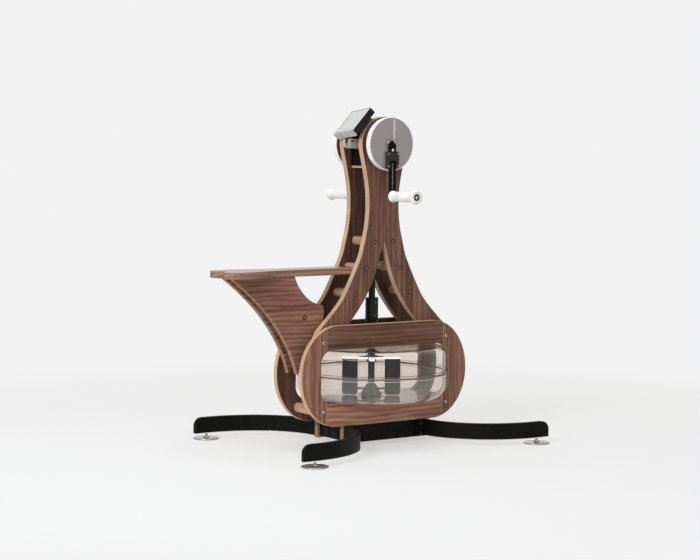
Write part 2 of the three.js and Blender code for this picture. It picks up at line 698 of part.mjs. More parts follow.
// Console pieces are drawn lying flat, face up, then turned to face the rider.
function tilted(geometry) {
  geometry.rotateX(CONSOLE_ROLL);
  geometry.rotateY(-CONSOLE_TILT);
  geometry.translate(CONSOLE.x, CONSOLE.y, CONSOLE.z);
  return geometry;
}

function roundedRectangle(x0, x1, y0, y1, radius) {
  const shape = new THREE.Shape();
  shape.absarc(x1 - radius, y1 - radius, radius, 0, Math.PI / 2, false);
  shape.absarc(x0 + radius, y1 - radius, radius, Math.PI / 2, Math.PI, false);
  shape.absarc(x0 + radius, y0 + radius, radius, Math.PI, (3 * Math.PI) / 2, false);
  shape.absarc(x1 - radius, y0 + radius, radius, (3 * Math.PI) / 2, 2 * Math.PI, false);
  shape.closePath();
  return shape;
}

// The recess for the screen, or the pane that fits it when set in by a margin.
function screenOutline(margin) {
  const [halfLength, halfWidth] = [CONSOLE.length / 2, CONSOLE.width / 2];
  const { low, edge, corner } = SCREEN_RECESS;
  const inset = edge + margin;
  return roundedRectangle(
    low + margin - halfLength, halfLength - inset, inset - halfWidth, halfWidth - inset, corner - margin,
  );
}

// The housing's back is hollowed where it passes the left column panel's round head.
function consoleHousing() {
  const [halfLength, halfWidth, halfDepth] = [CONSOLE.length / 2, CONSOLE.width / 2, CONSOLE.depth / 2];
  const outline = roundedRectangle(-halfLength, halfLength, -halfWidth, halfWidth, CONSOLE.corner);
  const body = cut(
    extrudeZ(outline, -halfDepth, halfDepth, 2),
    extrudeZ(screenOutline(0), halfDepth - SCREEN_RECESS.depth, halfDepth + 1, 2),
  );
  const headRoom = barY(0, CRANK_HEIGHT, HEAD_RADIUS + 1.5, COLUMN_INNER - 3, COLUMN_OUTER + 3, 60);
  const shell = cut(tilted(body), headRoom);
  const lug = new THREE.Shape();
  const [px, pz] = CONSOLE_PIVOT;
  lug.moveTo(px - LUG.radius, pz);
  lug.absarc(px, pz, LUG.radius, Math.PI, 2 * Math.PI, false);
  lug.lineTo(px + LUG.radius + 3, pz + 26);
  lug.lineTo(px - LUG.radius, pz + 22);
  lug.closePath();
  const pin = barY(px, pz, PIVOT_PIN.radius, -PIVOT_PIN.half, PIVOT_PIN.half, 12);
  return join(shell, extrudeY(lug, -LUG.half, LUG.half, 6), pin);
}

function consoleScreen() {
  const halfDepth = CONSOLE.depth / 2;
  return tilted(extrudeZ(screenOutline(0.5), halfDepth - SCREEN_RECESS.depth + GAP, halfDepth - 0.4, 2));
}

// A cradle on the gearbox's front: a rounded belly with two ears that hold the console's pin.
function consoleBracket() {
  const [px, pz] = CONSOLE_PIVOT;
  const back = -GEARBOX.half - GAP;
  const { bottom, top, ear, belly, half } = CRADLE;
  const shape = new THREE.Shape();
  shape.moveTo(back, bottom);
  shape.lineTo(back, top);
  shape.lineTo(px + ear / 2, pz + 7);
  shape.absarc(px, pz, ear, Math.PI / 3, Math.PI, false);
  shape.absarc(px + ear, pz - ear, belly, Math.PI, (3 * Math.PI) / 2, false);
  shape.lineTo(back - 6, bottom + 3);
  shape.closePath();
  return cut(
    extrudeY(shape, -half, half, 4),
    box(px - 20, px + 13, -LUG.half - GAP, LUG.half + GAP, bottom - 10, top + 18),
    barY(px, pz, PIVOT_PIN.radius + GAP, -half - 1, half + 1, 12),
  );
}

add('console_housing', consoleHousing(), 'consoleBlack');
add('console_screen', consoleScreen(), 'screen');
add('console_bracket', consoleBracket(), 'consoleGrey');

// ---------------------------------------------------------------- saddle board

// Plan of the board: two round lobes at the rear with a hollow between, and a narrow neck.
function seatShape() {
  const { rear, lobe, lobeY, waistX, half } = SEAT;
  const centreX = rear + lobe;
  const hollow = THREE.MathUtils.degToRad(125); // where each lobe runs into the hollow
  const hollowX = centreX + lobe * Math.cos(hollow);
  const hollowY = lobeY - lobe * Math.sin(hollow);
  const controlX = hollowX + (hollowY * Math.sin(hollow)) / -Math.cos(hollow);
  const neckEnd = -76;
  const shape = new THREE.Shape();
  shape.moveTo(neckEnd, half);
  shape.lineTo(waistX, half);
  shape.bezierCurveTo(waistX - 70, half, centreX + 90, lobeY + lobe, centreX, lobeY + lobe);
  shape.absarc(centreX, lobeY, lobe, Math.PI / 2, 2 * Math.PI - hollow, false);
  shape.quadraticCurveTo(controlX, 0, hollowX, -hollowY);
  shape.absarc(centreX, -lobeY, lobe, hollow, (3 * Math.PI) / 2, false);
  shape.bezierCurveTo(centreX + 90, -lobeY - lobe, waistX - 70, -half, waistX, -half);
  shape.lineTo(neckEnd, -half);
  shape.closePath();
  return shape;
}

function seatBoard() {
  const [x, z] = COLUMN_DOWELS[1];
  return cut(
    extrudeZ(seatShape(), SEAT.bottom, SEAT.top, 9),
    barY(-x, z, DOWEL_RADIUS + GAP, -COLUMN_OUTER, COLUMN_OUTER),
  );
}

function seatBracket(side) {
  const shape = new THREE.Shape();
  shape.moveTo(-549, SEAT.bottom - GAP);
  shape.bezierCurveTo(-417, 455, -337, 350, -309, 240);
  shape.lineTo(-292, 262);
  shape.quadraticCurveTo(-262, 300, -216, 318);
  shape.lineTo(-216, 362);
  shape.lineTo(-209, 438);
  shape.quadraticCurveTo(-208, 458, -228, 460);
  shape.bezierCurveTo(-262, 466, -302, 500, -319, SEAT.bottom - GAP);
  shape.closePath();
  shape.holes.push(hole(-CORNER.x, CORNER.high, CORNER.radius + 3 * GAP, 16));
  shape.holes.push(hole(SEAT_SPACER.x, SEAT_SPACER.z, BOLT_RADIUS + BOLT_CLEARANCE));
  return extrudeY(shape, ...sideRange(side, BRACKET.inner, BRACKET.outer));
}

add('seat_board', seatBoard(), 'walnut');
add('right_seat_bracket', seatBracket(RIGHT), 'walnut');
add('left_seat_bracket', seatBracket(LEFT), 'walnut');
const seatSpacerReach = BRACKET.inner - GAP;
add('seat_spacer', spacerDowel(SEAT_SPACER.x, SEAT_SPACER.z, SEAT_SPACER.radius, seatSpacerReach), 'birch');

// ---------------------------------------------------------------- base

// A leg's plan: a band of even width along a quarter ellipse and a short straight end.
function legShape(end, side) {
  const half = LEG.thickness / 2;
  const centreX = LEG.root + LEG.sweepX;
  const steps = 14;
  const outer = [];
  const inner = [];
  for (let i = 0; i <= steps; i += 1) {
    const angle = ((Math.PI / 2) * i) / steps;
    const point = new THREE.Vector2(
      centreX - LEG.sweepX * Math.cos(angle),
      LEG.rootY + LEG.sweepY * Math.sin(angle),
    );
    const along = new THREE.Vector2(LEG.sweepX * Math.sin(angle), LEG.sweepY * Math.cos(angle)).normalize();
    const across = new THREE.Vector2(-along.y, along.x).multiplyScalar(half);
    outer.push(point.clone().add(across));
    inner.push(point.clone().sub(across));
  }
  outer.push(new THREE.Vector2(LEG.end, LEG.rootY + LEG.sweepY + half));
  inner.push(new THREE.Vector2(LEG.end, LEG.rootY + LEG.sweepY - half));
  const loop = [...outer, ...inner.reverse()].map((p) => new THREE.Vector2(end * p.x, side * p.y));
  return new THREE.Shape(loop);
}

function leg(end, side) {
  const band = extrudeZ(legShape(end, side), LEG.bottom, LEG.top);
  const flangeX = end === REAR ? [-FLANGE.to, -FLANGE.from] : [FLANGE.from, FLANGE.to];
  const flange = box(...flangeX, ...sideRange(side, RAIL.outer + GAP, FLANGE.outer), LEG.bottom, LEG.top);
  const spandrel = new THREE.Shape();
  spandrel.moveTo(end * (LEG.end + 1), LEG.top - LEG_CORNER);
  spandrel.lineTo(end * (LEG.end + 1), LEG.top + 1);
  spandrel.lineTo(end * (LEG.end - LEG_CORNER), LEG.top + 1);
  arcPoints(LEG.end - LEG_CORNER, LEG.top - LEG_CORNER, LEG_CORNER, Math.PI / 2, 0, 7)
    .forEach((p) => spandrel.lineTo(end * p.x, p.y));
  spandrel.closePath();
  const rootTrim = box(-1000, 1000, ...sideRange(side, 0, RAIL.outer + GAP), 0, 100);
  const boltHoles = FLANGE.boltZ.map((z) => barY(
    end * FLANGE.boltX, z, FLANGE.boltHole, ...sideRange(side, RAIL.outer - 1, FLANGE.outer + 1), 12,
  ));
  const stemHole = barZ(end * FOOT.x, side * FOOT.y, FOOT.stem + GAP, LEG.bottom - 1, FOOT.stemTop + 4, 16);
  const tools = [extrudeY(spandrel, ...sideRange(side, 250, 400)), rootTrim, stemHole, ...boltHoles];
  return cut(join(band, flange), ...tools);
}

function levellingFoot(end, side) {
  const { radius, height, stem, stemTop } = FOOT;
  const foot = turned([
    [0, 0], [radius - 1, 0], [radius, 1.2], [radius, 3], [radius - 2, 4.2],
    [14, height], [9, height + 4], [stem, height + 4], [stem, stemTop], [0, stemTop],
  ], 20);
  foot.translate(end * FOOT.x, side * FOOT.y, 0);
  return foot;
}

function baseRail(side) {
  const shape = new THREE.Shape();
  shape.moveTo(-RAIL.half, RAIL.bottom);
  shape.lineTo(RAIL.half, RAIL.bottom);
  shape.lineTo(RAIL.half, RAIL.top);
  shape.lineTo(-RAIL.half, RAIL.top);
  shape.closePath();
  for (const x of [-FLANGE.boltX, FLANGE.boltX]) {
    for (const z of FLANGE.boltZ) shape.holes.push(hole(x, z, FLANGE.boltHole));
  }
  return extrudeY(shape, ...sideRange(side, RAIL.inner, RAIL.outer));
}

function crossMember(end) {
  const half = CROSS.thickness / 2;
  const width = RAIL.inner - GAP;
  return box(end * CROSS.x - half, end * CROSS.x + half, -width, width, CROSS.bottom, CROSS.top);
}

for (const [side, sideName] of [[RIGHT, 'right'], [LEFT, 'left']]) {
  add(`${sideName}_base_rail`, baseRail(side), 'walnut');
  for (const [end, endName] of [[REAR, 'rear'], [FRONT, 'front']]) {
    add(`${endName}_${sideName}_leg`, leg(end, side), 'blackMetal');
    add(`${endName}_${sideName}_foot`, levellingFoot(end, side), 'steel');
  }
}
add('rear_cross_member', crossMember(REAR), 'blackMetal');
add('front_cross_member', crossMember(FRONT), 'blackMetal');

export default group;
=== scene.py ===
"""Arm crank ergometer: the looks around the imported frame. Metres, +Z up, the rider faces +X."""

import math

import bmesh
import bpy
from mathutils import Matrix, Vector

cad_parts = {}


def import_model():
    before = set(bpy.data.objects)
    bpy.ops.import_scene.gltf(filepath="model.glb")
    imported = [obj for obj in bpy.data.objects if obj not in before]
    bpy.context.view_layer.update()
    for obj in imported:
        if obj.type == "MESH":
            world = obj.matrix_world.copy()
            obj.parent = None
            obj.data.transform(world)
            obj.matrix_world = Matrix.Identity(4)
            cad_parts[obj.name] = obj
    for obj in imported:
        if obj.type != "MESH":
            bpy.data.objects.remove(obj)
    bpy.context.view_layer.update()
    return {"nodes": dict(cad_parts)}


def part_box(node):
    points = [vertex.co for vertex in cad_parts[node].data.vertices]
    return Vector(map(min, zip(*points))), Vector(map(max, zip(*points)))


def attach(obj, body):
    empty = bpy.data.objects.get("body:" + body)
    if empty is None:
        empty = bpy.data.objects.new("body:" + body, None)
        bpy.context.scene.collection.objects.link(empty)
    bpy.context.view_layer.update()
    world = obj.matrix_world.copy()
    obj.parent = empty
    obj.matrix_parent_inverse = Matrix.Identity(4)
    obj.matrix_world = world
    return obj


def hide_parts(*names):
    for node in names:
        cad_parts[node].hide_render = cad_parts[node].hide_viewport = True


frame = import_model()

# ---- sizes, in millimetres
# Drawing coordinates are millimetres from the column's axis: X forward, Y to the left, Z up.

MM = 0.001
X, Y, Z = 0, 1, 2
RIGHT, LEFT = -1, 1
REAR, FRONT = -1, 1
SIDES = ((RIGHT, "right"), (LEFT, "left"))
ENDS = ((REAR, "rear"), (FRONT, "front"))

column_low, column_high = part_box("right_column_panel")
AXIS_X = (column_low.x + column_high.x) / 2


def at(x, y, z):
    """A drawing point as a place in the row frame."""
    return Vector((AXIS_X + x * MM, y * MM, z * MM))


def span(node, axis):
    """Where a CAD node starts and ends along an axis, in drawing millimetres."""
    low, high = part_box(node)
    shift = AXIS_X if axis == X else 0
    return (low[axis] - shift) / MM, (high[axis] - shift) / MM


def spans(node):
    return [span(node, axis) for axis in (X, Y, Z)]


def outer(node):
    """The larger distance of a node's faces from the middle plane."""
    return max(abs(v) for v in span(node, Y))


def between(sign, near, far):
    """The range between two distances on one side of the middle."""
    return sorted((sign * near, sign * far))


COLUMN_FACE = outer("right_column_panel")
FRAME_FACE = outer("right_tank_frame_top_board")
BRACKET_FACE = outer("right_seat_bracket")
FLANGE_FACE = 93

CRANK_HEIGHT = sum(span("crank_axle", Z)) / 2
HEAD_RADIUS = span("right_column_panel", Z)[1] - CRANK_HEIGHT
HEAD_JOIN = 0.225  # radians below the horizontal, where the head runs into the neck
HEAD_PULL, NECK_PULL = 130, 68
NECK = (58, 752)
LEG_EDGE = (NECK, (64, 700), (76, 650), (91, 600), (141, 500), (176, 450), (250, 376))
FOOT_OUTER, FOOT_SHOULDER = 262, 350
WISHBONE = ((2, 653), (34, 550), (37, 470), (216, 318))
AXLE_BORE = 23
COLUMN_BOLTS = ((36, 655), (66, 569), (109, 489))
CORNER_BOLTS = ((241, 341), (241, 121.5))

FRAME_STRAIGHT, FRAME_END = 188, 135
WINDOW_HALF, WINDOW_LOW, WINDOW_HIGH, WINDOW_CORNER = 250, 145.5, 317, 43
BOARD_SEAM, JOINT = 230, 0.3

TANK_RADIUS = 246
TANK_SEAM, TANK_WALL, TANK_FLANGE = 231.5, 4, 8
TANK_FLOOR = span("tank_lower_shell", Z)[0]
TANK_TOP = 316
SHOULDER, HEEL = (33, 31), (40, 49)

PADDLE_TURN = math.radians(-34)
BLADE_IN, BLADE_OUT, BLADE_LOW, BLADE_TOP = 44, 95, 151.5, 278

DISC_RADIUS = 85.5
DISC_SLOT = (4, 13, 16, 80)  # from and to along X, then above the axle
GRIP_HEIGHT = 801
CONSOLE_TILT = math.radians(47)
CONSOLE_ROLL = math.radians(-7.8)
CONSOLE_AT = (-77, -4, 1032)
CONSOLE_PIVOT = (-96, 977)

SEAT_REAR, LOBE, LOBE_Y, WAIST_X, NECK_HALF = -577, 34, 41, -330, 42.2

LEG_ROOT, LEG_ROOT_Y, SWEEP_X, SWEEP_Y, LEG_END = 155, 85, 275, 240, 475
LEG_LOW, LEG_HIGH, LEG_HALF, LEG_CORNER = 18, 71.5, 7.5, 28
FOOT_X, FOOT_Y, FOOT_RADIUS = 431, 324, 42.5
FLANGE_BOLTS = ((137, 27), (137, 58))
RAIL_JOINT = outer("right_base_rail") + JOINT
SHAFT_RADIUS, SHAFT_FIT = 10.75, 11.1
DISC_FACE, ARM_BACK, ARM_FACE = 103.5, 105.5, 110


# ---- outlines

def arc(cx, cy, rx, start, stop, steps, ry=None):
    """Points along a circular or elliptical arc, angles in degrees, both ends included."""
    points = []
    for i in range(steps + 1):
        angle = math.radians(start + (stop - start) * i / steps)
        points.append((cx + rx * math.cos(angle), cy + (ry or rx) * math.sin(angle)))
    return points


def bezier(a, b, c, d, steps):
    points = []
    for i in range(steps + 1):
        t = i / steps
        weights = ((1 - t) ** 3, 3 * t * (1 - t) ** 2, 3 * t * t * (1 - t), t**3)
        points.append(tuple(sum(w * p[k] for w, p in zip(weights, (a, b, c, d))) for k in (0, 1)))
    return points


def through(points, steps):
    """A smooth curve through the points, with this many steps between each two."""
    curve = []
    for i in range(len(points) - 1):
        a, b = points[max(i - 1, 0)], points[i]
        c, d = points[i + 1], points[min(i + 2, len(points) - 1)]
        for k in range(steps):
            t = k / steps
            curve.append(tuple(
                0.5 * (2 * b[j] + (c[j] - a[j]) * t + (2 * a[j] - 5 * b[j] + 4 * c[j] - d[j]) * t * t
                       + (3 * b[j] - a[j] - 3 * c[j] + d[j]) * t**3)
                for j in (0, 1)))
    return curve + [points[-1]]


def mirrored(points, axis=0):
    """The points reflected across the drawing's middle line, in reverse order."""
    flip = (-1, 1) if axis == 0 else (1, -1)
    return [(p[0] * flip[0], p[1] * flip[1]) for p in reversed(points)]


def rounded(points, radius, steps=4, closed=False):
    """A polyline with its corners rounded off; the first and last points of an open one stay."""
    result = []
    count = len(points)
    for i, p in enumerate(points):
        if not closed and i in (0, count - 1):
            result.append(p)
            continue
        p, a, b = Vector(p), Vector(points[i - 1]), Vector(points[(i + 1) % count])
        reach = min(radius, 0.45 * (a - p).length, 0.45 * (b - p).length)
        start, end = p + (a - p).normalized() * reach, p + (b - p).normalized() * reach
        for k in range(steps + 1):
            t = k / steps
            result.append(tuple(start * (1 - t) ** 2 + p * (2 * t * (1 - t)) + end * t * t))
    return result


def rectangle(x0, x1, y0, y1, radius, steps=5):
    return rounded([(x0, y0), (x1, y0), (x1, y1), (x0, y1)], radius, steps, closed=True)


# ---- meshes

def finish_piece(name, bm, materials, body, replaces=(), smooth=35):
    """The mesh as an object that rides on a body, shaded smooth except at sharp edges."""
    if len(materials) == 1:
        for face in bm.faces:
            face.material_index = 0
    bmesh.ops.remove_doubles(bm, verts=bm.verts, dist=1e-7)
    bmesh.ops.recalc_face_normals(bm, faces=bm.faces)
    mesh = bpy.data.meshes.new(name)
    bm.to_mesh(mesh)
    bm.free()
    mesh.shade_smooth()
    mesh.set_sharp_from_angle(angle=math.radians(smooth))
    piece = bpy.data.objects.new(name, mesh)
    bpy.context.scene.collection.objects.link(piece)
    for material in materials:
        mesh.materials.append(material)
    weighted = piece.modifiers.new("even_normals", "WEIGHTED_NORMAL")
    weighted.keep_sharp = True
    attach(piece, body)
    if replaces:
        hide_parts(*replaces)
    return piece


def soften(bm, width, segments=3, sharper_than=35):
    """Rounds every edge that turns by more than the given angle."""
    edges = [e for e in bm.edges if e.calc_face_angle(0) > math.radians(sharper_than)]
    bmesh.ops.bevel(bm, geom=edges, offset=width * MM, segments=segments, profile=0.5,
                    affect="EDGES", clamp_overlap=True)


def plate_mesh(outline, axis, start, stop, edge=1.2, segments=3):
    """A closed outline extruded along Y (drawn in X, Z) or Z (drawn in X, Y), with rounded edges.
    Faces across the axis get material 0, and the edges material 1."""
    def place(point, level):
        if axis == Y:
            return at(point[0], level, point[1])
        return at(point[0], point[1], level)

    bm = bmesh.new()
    loops = [[bm.verts.new(place(p, level)) for p in outline] for level in (start, stop)]
    for loop in loops:
        bm.faces.new(loop)
    count = len(outline)
    for i in range(count):
        k = (i + 1) % count
        bm.faces.new((loops[0][i], loops[0][k], loops[1][k], loops[1][i]))
    bmesh.ops.recalc_face_normals(bm, faces=bm.faces)
    soften(bm, edge, segments)
    bm.normal_update()
    for face in bm.faces:
        face.material_index = 0 if abs(face.normal[axis]) > 0.97 else 1
    return bm


def turned_mesh(profile, axis, x, other, side=1, segments=64, zones=None):
    """A profile of (radius, distance) points turned about the line along Z at (x, other as Y),
    or along Y at (x, other as Z). A radius may be a function of the angle."""
    def place(radius, level, angle):
        r = radius(angle) if callable(radius) else radius
        across, up = r * math.cos(angle), r * math.sin(angle)
        if axis == Z:
            return at(x + across, other + up, level)
        return at(x + across, level * side, other + up)

    bm = bmesh.new()
    rings = []
    for radius, level in profile:
        if not callable(radius) and radius < 1e-6:
            rings.append([bm.verts.new(place(0, level, 0))] * segments)
        else:
            turns = [2 * math.pi * i / segments for i in range(segments)]
            rings.append([bm.verts.new(place(radius, level, angle)) for angle in turns])
    for k in range(len(rings) - 1):
        for i in range(segments):
            j = (i + 1) % segments
            corners = dict.fromkeys((rings[k][i], rings[k][j], rings[k + 1][j], rings[k + 1][i]))
            if len(corners) > 2:
                face = bm.faces.new(list(corners))
                face.material_index = zones[k] if zones else 0
    return bm


def box_mesh(x0, x1, y0, y1, z0, z1, edge=0.8, segments=2):
    return plate_mesh([(x0, y0), (x1, y0), (x1, y1), (x0, y1)], Z, z0, z1, edge, segments)


def rod_mesh(radius, start, stop, axis, x, other, side=1, edge=0, segments=64):
    """A rod along the axis, its rims rounded by the edge, or the cutter for a bore."""
    profile = [(0, start), (radius, start), (radius, stop), (0, stop)]
    return turned_mesh(rounded(profile, edge) if edge else profile, axis, x, other, side, segments)


def ring_mesh(section, edge, axis, x, other, side=1, segments=64, steps=4):
    """A closed section with rounded corners, turned about the axis."""
    section = rounded(section, edge, steps, closed=True)
    return turned_mesh([*section, section[0]], axis, x, other, side, segments)


def turned_to(bm, turn, place=(0, 0, 0)):
    """Turns a mesh about the drawing's origin and moves it to a place."""
    bm.transform(Matrix.Translation(at(*place)) @ turn @ Matrix.Translation(-at(0, 0, 0)))
    return bm


def merged(*parts):
    """Several meshes as one; the parts are used up."""
    whole = parts[0]
    for part in parts[1:]:
        spare = bpy.data.meshes.new("spare")
        part.to_mesh(spare)
        part.free()
        whole.from_mesh(spare)
        bpy.data.meshes.remove(spare)
    return whole


def drilled(piece, *cutters):
    """Cuts the given meshes out of a piece."""
    for bm in cutters:
        bmesh.ops.remove_doubles(bm, verts=bm.verts, dist=1e-7)
        bmesh.ops.recalc_face_normals(bm, faces=bm.faces)
        mesh = bpy.data.meshes.new("cutter")
        bm.to_mesh(mesh)
        bm.free()
        cutter = bpy.data.objects.new("cutter", mesh)
        bpy.context.scene.collection.objects.link(cutter)
        cut = piece.modifiers.new("cut", "BOOLEAN")
        cut.object, cut.operation, cut.solver = cutter, "DIFFERENCE", "EXACT"
        piece.modifiers.move(len(piece.modifiers) - 1, 0)
        whole = bpy.data.meshes.new_from_object(
            piece.evaluated_get(bpy.context.evaluated_depsgraph_get()))
        piece.modifiers.remove(cut)
        piece.data = whole
        bpy.data.objects.remove(cutter)
    return piece


# ---- material nodes

def add_node(tree, kind, inputs=None, **settings):
    """A new node. Each input is a constant, or a socket to link from."""
    made = tree.nodes.new(kind)
    for key, value in settings.items():
        setattr(made, key, value)
    for key, value in (inputs or {}).items():
        if isinstance(value, bpy.types.NodeSocket):
            tree.links.new(value, made.inputs[key])
        else:
            made.inputs[key].default_value = value
    return made


class Recipe:
    """A node material being made: a Principled shader, its constants, and the nodes that feed it."""

    def __init__(self, name, constants):
        self.material = bpy.data.materials.new(name)
        self.material.use_nodes = True
        self.tree = self.material.node_tree
        self.shader = self.tree.nodes["Principled BSDF"]
        for socket, value in constants.items():
            self.shader.inputs[socket].default_value = value
        self.place = self.node("ShaderNodeTexCoord").outputs["Object"]

    def node(self, kind, inputs=None, **settings):
        return add_node(self.tree, kind, inputs, **settings)

    def stretched(self, scale, offset=(0, 0, 0)):
        """Object coordinates scaled by a vector; a small scale draws the pattern out that way."""
        return self.node("ShaderNodeMapping", {"Vector": self.place, "Scale": scale,
                                               "Location": offset}).outputs["Vector"]

    def noise(self, where, scale, detail=2.0, roughness=0.5, distortion=0.0):
        return self.node("ShaderNodeTexNoise", {
            "Vector": where, "Scale": scale, "Detail": detail, "Roughness": roughness,
            "Distortion": distortion}).outputs["Fac"]

    def math(self, operation, a, b=0.0, clamp=False):
        made = self.node("ShaderNodeMath", {0: a, 1: b}, operation=operation, use_clamp=clamp)
        return made.outputs["Value"]

    def blend(self, share, a, b):
        made = self.node("ShaderNodeMix", {"Factor": share, 6: a, 7: b}, data_type="RGBA")
        return made.outputs[2]

    def ramp(self, share, *stops):
        made = self.node("ShaderNodeValToRGB", {"Fac": share})
        elements = made.color_ramp.elements
        while len(elements) < len(stops):
            elements.new(0.5)
        for element, (position, colour) in zip(elements, stops):
            element.position = position
            element.color = (*colour, 1)
        return made.outputs["Color"]

    def span(self, share, low, high):
        """A 0 to 1 value moved to another range."""
        return self.math("ADD", self.math("MULTIPLY", share, high - low), low)

    def colour(self, source):
        self.tree.links.new(source, self.shader.inputs["Base Color"])

    def roughness(self, source):
        self.tree.links.new(source, self.shader.inputs["Roughness"])

    def bump(self, height, depth, strength=1.0):
        """Depth is the height of the relief in millimetres."""
        made = self.node("ShaderNodeBump", {"Height": height, "Distance": depth * MM,
                                            "Strength": strength})
        self.tree.links.new(made.outputs["Normal"], self.shader.inputs["Normal"])


def wood(name, grain, dark, middle, light, gloss=0.44, halves=False, coat=0.0):
    """Oiled walnut: tonal bands, growth rings, fine streaks and dark pores along the grain axis."""
    r = Recipe(name, {"Specular IOR Level": 0.3, "Coat Weight": coat, "Coat Roughness": 0.3})
    if halves:  # two mirrored leaves of wood, joined on the column's middle line
        x = r.node("ShaderNodeSeparateXYZ", {"Vector": r.place}).outputs["X"]
        side = r.math("GREATER_THAN", x, AXIS_X)
        shift = r.node("ShaderNodeCombineXYZ", {"Y": r.math("MULTIPLY", side, 0.37)})
        r.place = r.node("ShaderNodeVectorMath", {0: r.place, 1: shift.outputs["Vector"]},
                         operation="ADD").outputs["Vector"]
    stretch = [1.0, 1.0, 1.0]

    def along(share):
        scale = list(stretch)
        scale[grain] = share
        return r.stretched(scale, offset=(0.31, 0.17, 0.23))

    tone = r.noise(along(0.10), 26, 3, 0.55, 0.4)
    rings = r.node("ShaderNodeTexWave", {
        "Vector": along(0.16), "Scale": 21, "Distortion": 9, "Detail": 3, "Detail Scale": 0.7,
        "Detail Roughness": 0.55}, wave_type="RINGS", rings_direction="XYZ"[grain]).outputs["Fac"]
    streaks = r.noise(along(0.03), 330, 3, 0.6)
    pores = r.noise(along(0.045), 900, 1, 0.5)
    pores = r.math("MULTIPLY", r.math("SUBTRACT", pores, 0.62), 6, clamp=True)
    share = r.math("ADD", r.math("MULTIPLY", tone, 0.48), r.math("MULTIPLY", rings, 0.12))
    share = r.math("ADD", share, r.math("MULTIPLY", streaks, 0.40))
    colour = r.ramp(share, (0.33, dark), (0.50, middle), (0.68, light))
    if halves:
        joint = r.math("LESS_THAN", r.math("ABSOLUTE", r.math("SUBTRACT", x, AXIS_X)), 0.5 * MM)
        colour = r.blend(r.math("MULTIPLY", joint, 0.7), colour, (*dark, 1))
    r.colour(r.blend(r.math("MULTIPLY", pores, 0.55), colour, (*[c * 0.35 for c in dark], 1)))
    r.roughness(r.span(streaks, gloss - 0.08, gloss + 0.16))
    relief = r.math("SUBTRACT", r.math("MULTIPLY", streaks, 0.5), pores)
    r.bump(relief, 0.22, 0.6)
    return r.material


def plywood_edge(name, axis, light, dark):
    """The cut edge of plywood: thin layers across one axis, end grain flecks and a warm variation."""
    r = Recipe(name, {"Specular IOR Level": 0.35})
    layers = r.node("ShaderNodeTexWave", {
        "Vector": r.place, "Scale": 110, "Distortion": 0.6, "Detail": 1, "Detail Scale": 2},
        wave_type="BANDS", bands_direction="XYZ"[axis]).outputs["Fac"]
    fleck = r.noise(r.place, 520, 3, 0.65)
    tone = r.noise(r.place, 17, 2)
    share = r.math("ADD", r.math("MULTIPLY", layers, 0.30), r.math("MULTIPLY", fleck, 0.40))
    share = r.math("ADD", share, r.math("MULTIPLY", tone, 0.34))
    r.colour(r.ramp(share, (0.30, dark), (0.66, light)))
    r.roughness(r.span(fleck, 0.5, 0.72))
    r.bump(r.math("ADD", layers, fleck), 0.12, 0.5)
    return r.material


def coated(name, colour, roughness, grain_size=700, relief=0.05, metallic=0.0, spread=0.08, coat=0.0,
           shine=0.5, glow=0.0):
    """Paint, powder coat or moulded plastic: fine orange peel, uneven gloss and faint tone; a glow makes the
    surface give off light, a painted highlight.
    """
    r = Recipe(name, {"Metallic": metallic, "Coat Weight": coat, "Coat Roughness": 0.2,
                      "Specular IOR Level": shine, "Emission Color": (1, 1, 1, 1),
                      "Emission Strength": glow})
    peel = r.noise(r.place, grain_size, 2, 0.6)
    worn = r.noise(r.place, 30, 4, 0.6)
    lighter = tuple(min(1.0, c * 1.2 + 0.001) for c in colour)
    darker = tuple(c * 0.86 for c in colour)
    r.colour(r.ramp(worn, (0.35, darker), (0.65, lighter)))
    r.roughness(r.math("ADD", r.span(worn, roughness - spread, roughness + spread),
                       r.math("MULTIPLY", peel, 0.04)))
    r.bump(peel, relief, 0.7)
    return r.material


def bare_metal(name, colour, roughness, brush=None, centre=None):
    """Bare metal with fine scratches: all ways, along an axis, or turned round a centre (x, z)."""
    r = Recipe(name, {"Metallic": 1.0})
    if centre:
        away = r.node("ShaderNodeVectorMath", {0: r.place, 1: centre}, operation="SUBTRACT")
        part = r.node("ShaderNodeSeparateXYZ", {"Vector": away.outputs["Vector"]})
        flat = r.node("ShaderNodeCombineXYZ", {"X": part.outputs["X"], "Z": part.outputs["Z"]})
        reach = r.node("ShaderNodeVectorMath", {0: flat.outputs["Vector"]}, operation="LENGTH")
        where = r.node("ShaderNodeCombineXYZ", {"X": reach.outputs["Value"]}).outputs["Vector"]
        lines = r.noise(where, 2600, 3, 0.7)
    else:
        scale = [1.0, 1.0, 1.0]
        if brush is not None:
            scale[brush] = 0.02
        lines = r.noise(r.stretched(scale), 1500, 3, 0.7)
    smudge = r.noise(r.place, 40, 3, 0.55)
    tone = r.ramp(r.math("ADD", r.math("MULTIPLY", lines, 0.6), r.math("MULTIPLY", smudge, 0.4)),
                  (0.30, tuple(c * 0.84 for c in colour)), (0.70, colour))
    if centre:  # dark stippling round the hub
        near = r.node("ShaderNodeMapRange", {"Value": reach.outputs["Value"], "From Min": 28 * MM,
                                             "From Max": 13 * MM}).outputs["Result"]
        dots = r.math("MULTIPLY", r.math("SUBTRACT", r.noise(r.place, 420, 1), 0.52), 9, clamp=True)
        tone = r.blend(r.math("MULTIPLY", near, dots), tone, (*[c * 0.12 for c in colour], 1))
    r.colour(tone)
    r.roughness(r.math("ADD", r.span(lines, roughness * 0.8, roughness * 1.25),
                       r.math("MULTIPLY", smudge, 0.05)))
    r.bump(lines, 0.02, 0.5)
    return r.material


